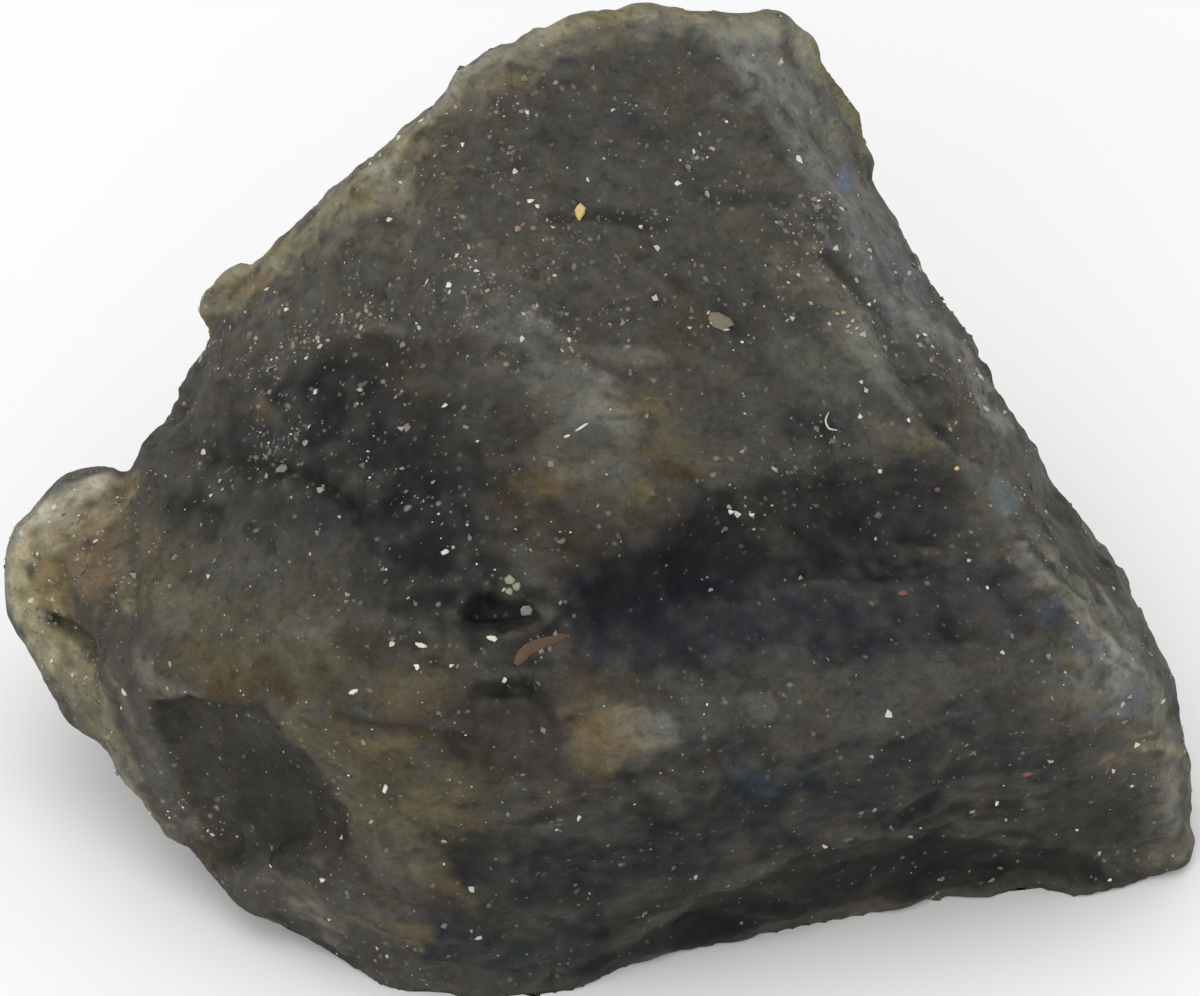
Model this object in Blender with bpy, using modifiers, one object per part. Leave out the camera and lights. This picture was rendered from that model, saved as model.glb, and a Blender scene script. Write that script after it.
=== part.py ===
"""A rough chunk of labradorite: one broken lump of feldspar, lying on its flattest cleavage face.

The lump starts as convex hulls of its corners: the body, a shoulder beside the crest, the blunt nose at its
left end and a small knob on its left edge. They are joined, the undercut below the front face is taken off,
and the whole is remeshed to one even skin. The broken step across the upper face, the hollows and bumps and
the edges of the cleavage sheets are pressed into that skin. Last, the skin is thinned to flat facets and the
underside is cleaved off level.
"""

import math

import bmesh
import bpy
from mathutils import Matrix, Vector, noise

MM = 0.001
NODE = "labradorite_chunk"

# The skin: spacing in mm before it is thinned, how far it is swollen, and its triangles once thinned
SKIN_MM = 0.42
SWELL_OUT_MM = 0.14
TRIANGLES = 10600

# Corners of the lumps, in mm: X runs right, Y back and Z up, and the stone is cleaved off level at Z 0
BODY = {
    "crest": [
        (-6.9, 7.7, 28.3), (-5.2, 8.7, 29.3), (-3.0, 9.5, 30.0), (-0.4, 10.2, 30.3), (1.7, 10.8, 30.2),
        (4.2, 11.3, 29.3),
    ],
    "right_ridge": [
        (6.0, 9.8, 28.1), (7.9, 7.0, 26.0), (9.4, 4.4, 24.1), (10.8, 1.8, 22.2), (12.2, -0.5, 20.8),
        (13.6, -2.6, 19.2), (15.2, -4.6, 17.6), (16.8, -6.3, 16.4), (18.0, -7.4, 15.2),
        (19.3, -8.6, 14.1),
    ],
    "right_rim": [
        (10.5, 10.0, 22.4), (11.7, 9.8, 20.3), (14.7, 6.3, 16.6), (17.3, 2.6, 11.8), (21.2, 0.0, 9.6),
        (22.5, -3.0, 10.0), (24.3, -6.5, 8.1), (24.9, -7.6, 5.2), (25.2, -8.4, 3.0), (24.8, -9.4, 0.5),
    ],
    "left_rim": [(-19.5, 0.5, 14.4), (-16.6, 4.6, 17.2), (-14.9, 6.3, 19.6), (-11.3, 7.4, 22.7)],
    "rib": [(-5.5, -6.8, 22.5), (-4.4, -13.6, 18.0), (-1.7, -12.8, 18.2)],
    "ridge_top": [
        (18.0, -10.0, 13.7), (15.1, -11.2, 14.0), (12.2, -12.1, 14.3), (8.9, -13.2, 14.8),
        (6.0, -14.1, 15.2), (3.2, -15.0, 15.5), (0.0, -15.8, 15.8), (-3.2, -16.3, 16.0),
        (-6.0, -16.3, 15.6), (-8.7, -15.8, 14.9),
    ],
    "ridge_front": [
        (21.7, -10.5, 11.4), (20.5, -11.2, 11.5), (17.9, -12.7, 12.1), (15.0, -13.7, 12.2),
        (12.1, -14.6, 12.4), (8.9, -15.5, 12.6), (6.0, -16.2, 12.8), (3.2, -16.8, 13.0),
        (0.0, -17.3, 13.1), (-3.2, -17.2, 13.0), (-6.0, -16.9, 12.6), (-8.5, -16.4, 12.2),
    ],
    "corner_ridge": [(-12.3, -15.2, 12.1), (-10.3, -16.6, 8.8), (-8.2, -17.6, 4.2), (-7.0, -17.8, 2.7)],
    "left_ridge": [(-13.5, -14.2, 13.2), (-17.0, -11.7, 11.6), (-19.7, -8.7, 11.0)],
    "left_keel": [(-12.1, -14.8, 0.6), (-16.5, -12.8, 2.6), (-20.9, -8.2, 4.5), (-22.4, -5.8, 5.9)],
    "front_foot": [(-8.2, -16.6, -1.2), (-1.7, -16.5, -1.2), (20.2, -10.5, -1.2), (24.0, -9.4, -1.2)],
    "back_foot": [
        (24.0, -3.0, -1.2), (20.0, 7.0, -1.2), (13.0, 15.0, -1.2), (3.0, 17.6, -1.2),
        (-9.0, 16.0, -1.2), (-16.0, 8.0, -1.2), (-16.0, -5.0, -1.2),
    ],
    "back": [(9.0, 17.0, 12.0), (-2.0, 16.5, 17.0), (-12.5, 13.5, 12.0), (-19.0, 6.5, 8.0)],
}
SHOULDER = [
    (4.2, 11.5, 29.3), (6.9, 12.3, 28.7), (8.8, 13.2, 27.6), (10.3, 13.1, 25.8), (11.4, 12.1, 24.1),
    (11.9, 11.0, 22.5), (6.0, 9.8, 27.6), (7.9, 7.6, 25.4), (9.7, 6.3, 22.9), (4.0, 12.0, 22.0),
    (10.0, 12.0, 18.0),
]
NOSE = [
    (-20.7, 0.3, 14.1), (-22.1, 0.5, 13.9), (-23.7, -0.1, 13.2), (-25.0, -0.9, 12.0),
    (-25.4, -1.8, 10.4), (-25.0, -3.2, 8.7), (-23.9, -4.9, 7.1), (-22.1, -7.0, 5.8), (-21.5, 3.4, 11.1),
    (-20.5, 5.3, 9.0), (-22.0, 2.6, 6.5), (-20.0, -6.5, 11.5), (-22.6, 1.6, 8.4), (-18.0, 2.0, 9.0),
    (-17.0, -4.0, 4.0),
]
KNOB = [
    (-17.2, 5.5, 18.2), (-16.8, 6.3, 19.1), (-15.4, 6.8, 19.9), (-14.0, 6.0, 18.0), (-16.4, 5.0, 17.2),
    (-14.5, 8.0, 16.0),
]

# The undercut below the front face: its crisp upper edge, and the line where the stone meets the table
UNDERCUT_EDGE = [
    (-2.1, -17.0, 1.4), (0.0, -16.6, 2.5), (4.7, -15.2, 3.9), (8.9, -14.3, 5.4), (12.6, -13.6, 6.9),
    (15.9, -12.7, 6.6), (19.6, -11.4, 2.0),
]
UNDERCUT_FOOT = [
    (-0.8, -16.3, -1.0), (0.4, -15.5, -1.0), (4.2, -14.0, -1.0), (7.5, -12.7, -1.0),
    (10.5, -11.9, -1.0), (14.7, -11.1, -1.0), (18.3, -10.3, -1.0),
]
UNDERCUT_REACH_MM = 8.0

# The two cleavages. The upper face follows one, and breaks away in thin flakes. The other lies nearly
# level like the base, in sheets whose broken edges run round the sides of the stone as ledges.
FLAKE_NORMAL = Vector((0.255, -0.467, 0.846)).normalized()
FLAKE_MM = 0.34
SHEET_NORMAL = Vector((-0.09, 0.03, 1.0)).normalized()
SHEET_MM = 2.1
SHEET_EDGE_MM = 0.55

# The broken step across the upper face: its wall seen from above, left to right, then drop, width and reach
STEP_LINE = [
    (-4.5, -14.0), (-1.7, -12.7), (0.0, -11.6), (2.1, -10.0), (3.8, -8.2), (5.5, -7.0), (8.4, -6.1),
    (10.9, -5.2), (14.7, -4.0), (18.0, -3.2),
]
STEP_DROP_MM = 2.2
STEP_WALL_MM = 1.0
STEP_REACH_MM = 9.0

# Hollows and bumps: centre, radii, turn about Z in degrees, depth (below 0 for a bump), and the share of
# the radius its wall takes: 1 is a round bowl, and a small share is a flat floor inside a steep wall
RAGGED_MM = 1.7
DENTS = {
    "hollow": ((-7.8, -5.6, 21.4), (5.6, 6.0, 5.0), 0, 0.55, 1.0),
    "hollow_wall": ((-8.8, -4.0, 21.2), (3.0, 4.4, 4.0), 40, 0.5, 0.4),
    "lens": ((-13.7, -6.5, 16.5), (3.2, 1.8, 2.5), -15, -0.5, 0.8),
    "milky_rib": ((-2.2, -3.2, 23.5), (1.3, 5.5, 3.0), 38, -0.55, 1.0),
    "pit": ((-4.2, -13.4, 18.0), (1.2, 0.9, 1.6), 10, 1.3, 0.6),
    "groove": ((11.3, 0.4, 21.6), (0.9, 5.0, 2.5), 42, 0.9, 1.0),
    "left_scoop": ((-14.9, -12.2, 6.8), (4.4, 3.0, 4.8), -30, 1.5, 0.45),
    "left_notch": ((-18.4, 2.6, 15.8), (2.2, 2.6, 2.6), 0, 0.8, 1.0),
    "pale_patch": ((1.2, -16.1, 14.4), (1.8, 1.5, 1.5), 0, -0.4, 1.0),
    "right_corner": ((22.4, -10.4, 9.6), (2.2, 1.8, 3.0), 0, -0.4, 1.0),
    "right_notch": ((16.8, 4.4, 15.2), (2.6, 3.0, 3.2), 0, 0.7, 1.0),
    "right_flat": ((23.8, -5.4, 9.6), (2.4, 3.0, 2.4), 0, 0.4, 1.0),
    "front_hollow": ((-4.5, -17.4, 8.0), (5.5, 2.5, 3.0), 5, 0.5, 0.8),
    "front_swell": ((4.0, -16.4, 9.0), (3.5, 2.5, 3.0), 10, -0.4, 1.0),
}


def clear_scene():
    for obj in list(bpy.data.objects):
        bpy.data.objects.remove(obj, do_unlink=True)


def collection(name):
    made = bpy.data.collections.new(name)
    bpy.context.scene.collection.children.link(made)
    return made


def hull(name, points, home):
    """A solid with flat faces: the convex hull of its corners, given in mm."""
    mesh = bpy.data.meshes.new(name)
    bm = bmesh.new()
    for point in points:
        bm.verts.new(Vector(point) * MM)
    made = bmesh.ops.convex_hull(bm, input=bm.verts)
    inner = {v for v in made["geom_interior"] + made["geom_unused"] if isinstance(v, bmesh.types.BMVert)}
    bmesh.ops.delete(bm, geom=list(inner), context="VERTS")
    bmesh.ops.recalc_face_normals(bm, faces=bm.faces)
    bm.to_mesh(mesh)
    bm.free()
    obj = bpy.data.objects.new(name, mesh)
    home.objects.link(obj)
    return obj


def combine(obj, lump, operation):
    """Adds a lump to the stone, or takes it off, and keeps the lump as a hidden guide."""
    lump.hide_render = True
    lump.display_type = "WIRE"
    boolean = obj.modifiers.new(lump.name, "BOOLEAN")
    boolean.operation = operation
    boolean.solver = "EXACT"
    boolean.object = lump


def settle(obj):
    """Turns the object's modifiers into its mesh."""
    bpy.context.view_layer.update()
    evaluated = obj.evaluated_get(bpy.context.evaluated_depsgraph_get())
    mesh = bpy.data.meshes.new_from_object(evaluated)
    obj.modifiers.clear()
    obj.data = mesh


def ramp(low, high, value):
    """0 below low, 1 above high, and a smooth rise between them."""
    t = min(max((value - low) / (high - low), 0.0), 1.0)
    return t * t * (3.0 - 2.0 * t)


def along(line, x):
    """The line's Y at x, straight between its points and level past its ends."""
    if x <= line[0][0]:
        return line[0][1]
    for (x0, y0), (x1, y1) in zip(line, line[1:]):
        if x <= x1:
            return y0 + (y1 - y0) * (x - x0) / (x1 - x0)
    return line[-1][1]


def step_depth(p, facing):
    """How far the broken step lowers the upper face at p."""
    ragged = 1.3 * noise.noise(p / 2.8) + 0.5 * noise.noise(p / 1.1)
    below = along(STEP_LINE, p.x) + ragged - p.y
    ends = ramp(-6.0, 0.0, p.x) * (1.0 - ramp(15.0, 18.5, p.x))
    drop = STEP_DROP_MM * (1.0 + 0.5 * noise.noise(p / 3.5))
    wall = 0.65 * ramp(0.0, STEP_WALL_MM, below) + 0.35 * ramp(STEP_WALL_MM, 2.0 * STEP_WALL_MM, below)
    return drop * facing * ends * wall * (1.0 - ramp(2.0, STEP_REACH_MM, below))


def ragged(p):
    """p moved about a little, so that what is measured from it has a ragged outline."""
    places = [p / 2.4 + Vector((apart, 0.0, 0.0)) for apart in (0.0, 31.0, 67.0)]
    return p + RAGGED_MM * Vector([noise.noise(place) for place in places])


def dent_depth(p, dent):
    centre, radii, turn, depth, wall = dent
    local = Matrix.Rotation(math.radians(-turn), 3, "Z") @ (p - Vector(centre))
    reach = Vector((local.x / radii[0], local.y / radii[1], local.z / radii[2])).length
    return depth * ramp(0.0, wall, 1.0 - reach)


def sheet_edges(p, facing):
    """The edges of the level sheets: a saw up the sides of the stone, strong in places, worn in others."""
    height = p.dot(SHEET_NORMAL) + 2.2 * noise.noise(p / 9.0) + 0.3 * noise.noise(p / 1.9)
    rise = (height / SHEET_MM) % 1.0
    saw = rise - ramp(0.85, 1.0, rise) - 0.4
    strength = ramp(-0.1, 0.4, noise.noise(p / 4.5 + Vector((7.0, 3.0, 5.0))))
    return SHEET_EDGE_MM * (1.0 - facing) * saw * strength


def flakes(p, facing):
    """A broad swell, which the upper face breaks into thin flakes, each a small step above the next."""
    swell = 0.5 * noise.fractal(p / 7.5, 1.0, 2.0, 3)
    level = math.floor(swell / FLAKE_MM)
    step = FLAKE_MM * (level + ramp(0.7, 1.0, swell / FLAKE_MM - level))
    return swell + (step - swell) * facing


def breaks(p):
    """Small flat breaks between creases, alike all over the stone."""
    near, next_near = noise.voronoi(p / 4.0 + Vector((2.0, 9.0, 4.0)))[0][:2]
    return 0.3 * (min(next_near - near, 0.45) - 0.3)


def skin_normals(mesh):
    """The skin's normals, added up face by face in a fixed order: every build gives the same stone."""
    normals = [Vector() for _ in mesh.vertices]
    for polygon in mesh.polygons:
        for index in polygon.vertices:
            normals[index] += polygon.normal * polygon.area
    return [normal.normalized() for normal in normals]


def press_relief(obj):
    """Moves every point of the skin in or out; the directions are the undisturbed skin's own."""
    for vertex, normal in zip(obj.data.vertices, skin_normals(obj.data)):
        p = vertex.co / MM
        facing = ramp(0.6, 0.9, normal.dot(FLAKE_NORMAL))
        out = SWELL_OUT_MM + flakes(p, facing) + breaks(p) + sheet_edges(p, facing)
        out -= sum(dent_depth(ragged(p), dent) for dent in DENTS.values())
        vertex.co = (p + normal * out - FLAKE_NORMAL * step_depth(p, facing)) * MM


def remesh(obj):
    skin = obj.modifiers.new("skin", "REMESH")
    skin.mode = "VOXEL"
    skin.voxel_size = SKIN_MM * MM
    settle(obj)


def thin(obj):
    """Collapses the even skin to flat facets, which stay small only where the stone bends."""
    obj.data.calc_loop_triangles()
    facets = obj.modifiers.new("facets", "DECIMATE")
    facets.ratio = TRIANGLES / len(obj.data.loop_triangles)
    settle(obj)


def cleave_base(obj):
    """Cuts the stone off level at Z 0, and closes the cut with one flat face."""
    bm = bmesh.new()
    bm.from_mesh(obj.data)
    everything = bm.verts[:] + bm.edges[:] + bm.faces[:]
    level = Vector((0.0, 0.0, 1.0))
    cut = bmesh.ops.bisect_plane(
        bm, geom=everything, dist=1e-6, plane_co=Vector(), plane_no=level, clear_inner=True
    )
    rim = {v for e in cut["geom_cut"] if isinstance(e, bmesh.types.BMEdge) for v in e.verts}
    bmesh.ops.remove_doubles(bm, verts=list(rim), dist=0.05 * MM)
    bmesh.ops.contextual_create(bm, geom=[e for e in bm.edges if len(e.link_faces) == 1])
    bmesh.ops.triangulate(bm, faces=bm.faces)
    bmesh.ops.recalc_face_normals(bm, faces=bm.faces)
    bm.to_mesh(obj.data)
    bm.free()


def centre_base(obj):
    """Puts the middle of the bounding box's base on the origin."""
    corners = [vertex.co for vertex in obj.data.vertices]
    low = [min(c[axis] for c in corners) for axis in range(3)]
    high = [max(c[axis] for c in corners) for axis in range(3)]
    middle = Vector(((low[0] + high[0]) / 2, (low[1] + high[1]) / 2, low[2]))
    obj.data.transform(Matrix.Translation(-middle))


def stone_material():
    stone = bpy.data.materials.new("labradorite")
    stone.use_nodes = True
    shader = stone.node_tree.nodes["Principled BSDF"]
    shader.inputs["Base Color"].default_value = (0.07, 0.07, 0.06, 1.0)
    shader.inputs["Roughness"].default_value = 0.45
    shader.inputs["Metallic"].default_value = 0.0
    return stone


def main():
    clear_scene()
    stone = collection("labradorite")
    lumps = collection("lumps")
    chunk = hull(NODE, [corner for group in BODY.values() for corner in group], stone)
    for name, corners in (("shoulder", SHOULDER), ("nose", NOSE), ("knob", KNOB)):
        combine(chunk, hull(name, corners, lumps), "UNION")
    far = [(x, y - UNDERCUT_REACH_MM, z) for x, y, z in UNDERCUT_EDGE + UNDERCUT_FOOT]
    combine(chunk, hull("undercut", UNDERCUT_EDGE + UNDERCUT_FOOT + far, lumps), "DIFFERENCE")
    remesh(chunk)
    press_relief(chunk)
    thin(chunk)
    cleave_base(chunk)
    centre_base(chunk)
    chunk.data.materials.clear()
    chunk.data.materials.append(stone_material())


main()
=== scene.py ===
"""A rough chunk of labradorite: its broken skin, its clouded colours, and the pale grit that clings to it."""

import math

import bmesh
import bpy
import numpy as np
from mathutils import Matrix, Vector, noise
from mathutils.bvhtree import BVHTree


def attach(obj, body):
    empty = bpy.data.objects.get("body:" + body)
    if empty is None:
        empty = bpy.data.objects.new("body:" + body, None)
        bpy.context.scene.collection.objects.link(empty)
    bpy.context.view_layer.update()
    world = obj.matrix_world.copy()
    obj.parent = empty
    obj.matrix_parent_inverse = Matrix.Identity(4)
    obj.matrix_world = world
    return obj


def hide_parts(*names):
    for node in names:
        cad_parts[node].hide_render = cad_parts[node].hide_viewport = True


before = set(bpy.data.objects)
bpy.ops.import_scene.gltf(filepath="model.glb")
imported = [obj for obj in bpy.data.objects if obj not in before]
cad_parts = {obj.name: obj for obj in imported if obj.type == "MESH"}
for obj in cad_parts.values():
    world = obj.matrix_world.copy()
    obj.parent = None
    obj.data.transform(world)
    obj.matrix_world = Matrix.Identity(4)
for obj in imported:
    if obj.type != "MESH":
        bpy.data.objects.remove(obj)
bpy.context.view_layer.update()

MM = 0.001
NODE = "labradorite_chunk"
BODY = "root"

# ---------------------------------------------------------------- the stone's skin, in millimetres

SKIN_GRID_MM = 0.225        # spacing of the even grid the solid is remeshed to
SKIN_TRIANGLES = 182000
SMOOTHING_ROUNDS = 5        # takes the steps of the grid out of the solid's facets
FOOT_MM = 0.5               # height over which the skin's relief fades in above the foot
SINK_MM = 0.04              # how far the whole skin lies under the solid, to leave room for its relief
CRISP_ROUNDS = 24           # what stands out from so many rounds of evening out is sharpened
CRISP = 0.55
CRISP_MM = 0.22
EASE_ROUNDS = 140
PROUD_ROUNDS = 24
PAINT_ROUNDS = 10           # the same, finer, for the painted glow of edges and the painted shade of hollows

FACET_COUNT = 480
FACET_REACH_MM = (0.9, 2.4)
FACET_CUT = (0.03, 0.075)   # in reaches
FACET_LEAN = 0.05
FACET_TOP_PERCENT = 96      # so high above its surroundings a facet's plane starts

CLEAVAGE = (0.13, 0.50, 0.855)
LEDGE_PITCH_MM = 1.15
LEDGE_HEIGHT_MM = 0.13
LEDGE_TREAD = 0.74          # share of the pitch that rises slowly, before the drop
LUMP_MM = 0.10
GRAIN_MM = 0.045
PIT_MM = 0.16
CHIP_COUNT = 110
CHIP_DEPTH_MM = 0.12
CHIP_REACH_MM = (0.45, 1.5)
CHIP_LEAST_PROUD_MM = 0.16

# ---------------------------------------------------------------- colours, as eight-bit display values

SHEEN = 0.013               # what the surface's gloss adds to every colour
FRONT = (0.0, -0.77, 0.64)  # the way the side with the stains and painted light faces
BODY_COLOUR = "ash"
CLOUD_STRETCH = (0.75, 1.0, 1.35)
# Each cloud: colour, size in mm, seed, where it starts and is full, and strength in front and behind.
CLOUDS = [
    ("char", 7.0, 31, 0.00, 0.45, 0.20, 0.75),
    ("milkgreen", 5.0, 32, 0.05, 0.45, 0.06, 0.50),
    ("olive", 4.2, 33, 0.05, 0.45, 0.06, 0.50),
    ("umber", 3.4, 34, 0.05, 0.45, 0.06, 0.45),
    ("jet", 4.6, 35, 0.05, 0.50, 0.04, 0.50),
    ("tansoft", 2.4, 36, 0.15, 0.50, 0.00, 0.45),
]
EDGE_GLOW_PAINTED = 0.30            # how far thin standing edges are lightened: painted glow of light through them
HOLLOW_SHADED = 0.40        # and hollows darkened
CRACK_COLOUR = (24, 25, 24)
WIDE_MARK_MM = 1.5
NARROW_MARK_MM = 0.6
# The fine pattern between the marks: warm and cool tinges, dark dashes, pale crystals and dust.
WARM_HUE, COOL_HUE = (1.16, 0.98, 0.74, 1.0), (0.90, 1.0, 1.16, 1.0)
HUE_SHIFT = 0.5
DASHES = ((0.80, 0.56, 0.74, 0.42), (0.36, 0.56, 0.76, 0.38))   # size in mm, start, full, strength
DASH_COLOUR = (30, 29, 27)
CRYSTALS_APART_MM = 0.42
CRYSTAL_COLOUR = (142, 138, 124)
DUST = ((0.34, 0.10, 0.34, 0.50, (126, 122, 110)),              # apart in mm, core, rim, strength, colour
        (0.62, 0.06, 0.26, 0.55, (150, 146, 134)))

COLOURS = {
    "jet": (33, 33, 33), "duskslate": (34, 37, 41), "duskstone": (40, 36, 35), "dusksage": (40, 40, 41),
    "deepdusktan": (53, 40, 34), "night": (43, 47, 50), "warmduskslate": (38, 48, 55), "dusktan": (51, 46, 38),
    "tealdark": (43, 49, 58), "coal": (49, 49, 47), "nightblue": (49, 50, 55), "char": (54, 53, 51),
    "dimtan": (58, 53, 44), "dimdun": (59, 56, 50), "russetdark": (68, 56, 34), "terrace": (57, 58, 56),
    "umber": (66, 57, 46), "mossdark": (62, 60, 55), "ashdark": (62, 61, 63), "dimgold": (71, 61, 47),
    "scoopcool": (65, 65, 62), "driftdark": (72, 65, 58), "lens": (68, 68, 66), "midslate": (61, 69, 75),
    "midgold": (80, 66, 52), "mossgrey": (73, 71, 63), "lightmidtan": (79, 73, 55), "ash": (75, 73, 68),
    "midtan": (80, 74, 66), "lightmidsage": (73, 75, 80), "russet": (86, 75, 56), "mauvelight": (80, 79, 78),
    "olive": (84, 80, 66), "olivepale": (91, 82, 64), "gilt": (96, 83, 56), "pinkgrey": (89, 87, 80),
    "deepsoftgold": (93, 87, 71), "tansoft": (98, 88, 70), "bluefaint": (82, 91, 93), "milkgreen": (90, 94, 84),
    "lightsoftslate": (92, 93, 103), "paleolive": (98, 94, 83), "nosetan": (104, 94, 67), "tan": (104, 95, 73),
    "palegrey": (97, 97, 92), "softgold": (111, 98, 60), "driftlight": (104, 99, 82), "flankpale": (102, 100, 92),
    "softslate": (99, 100, 105), "milk": (99, 101, 98), "lightsoftgold": (118, 99, 75),
    "warmsoftgold": (110, 102, 74), "deeppaleslate": (100, 104, 110), "tealpale": (98, 107, 101),
    "noseolive": (114, 106, 81), "palemoss": (105, 107, 101), "beige": (111, 106, 94), "paleslate": (98, 109, 126),
    "nosegold": (126, 109, 77), "milkpale": (113, 111, 104), "paletan": (119, 111, 93),
    "lightpaleslate": (106, 113, 115), "lightpaletan": (117, 115, 102), "palegold": (124, 116, 88),
    "lightpalemoss": (120, 118, 112), "lightpalegold": (129, 119, 84), "palesage": (118, 120, 119),
    "brim": (124, 122, 107), "mint": (124, 125, 114), "giltpale": (137, 126, 94), "cream": (132, 127, 105),
    "paleedge": (133, 129, 111), "lightbrightmoss": (128, 130, 126), "brightgold": (143, 129, 99),
    "lightbrightgold": (147, 140, 117), "rimpale": (143, 142, 133), "brightolive": (152, 150, 133),
    "deepbrightgold": (162, 152, 118), "straw": (165, 162, 144), "lightsnowgold": (174, 164, 126),
    "snowolive": (183, 181, 163),
}
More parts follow.
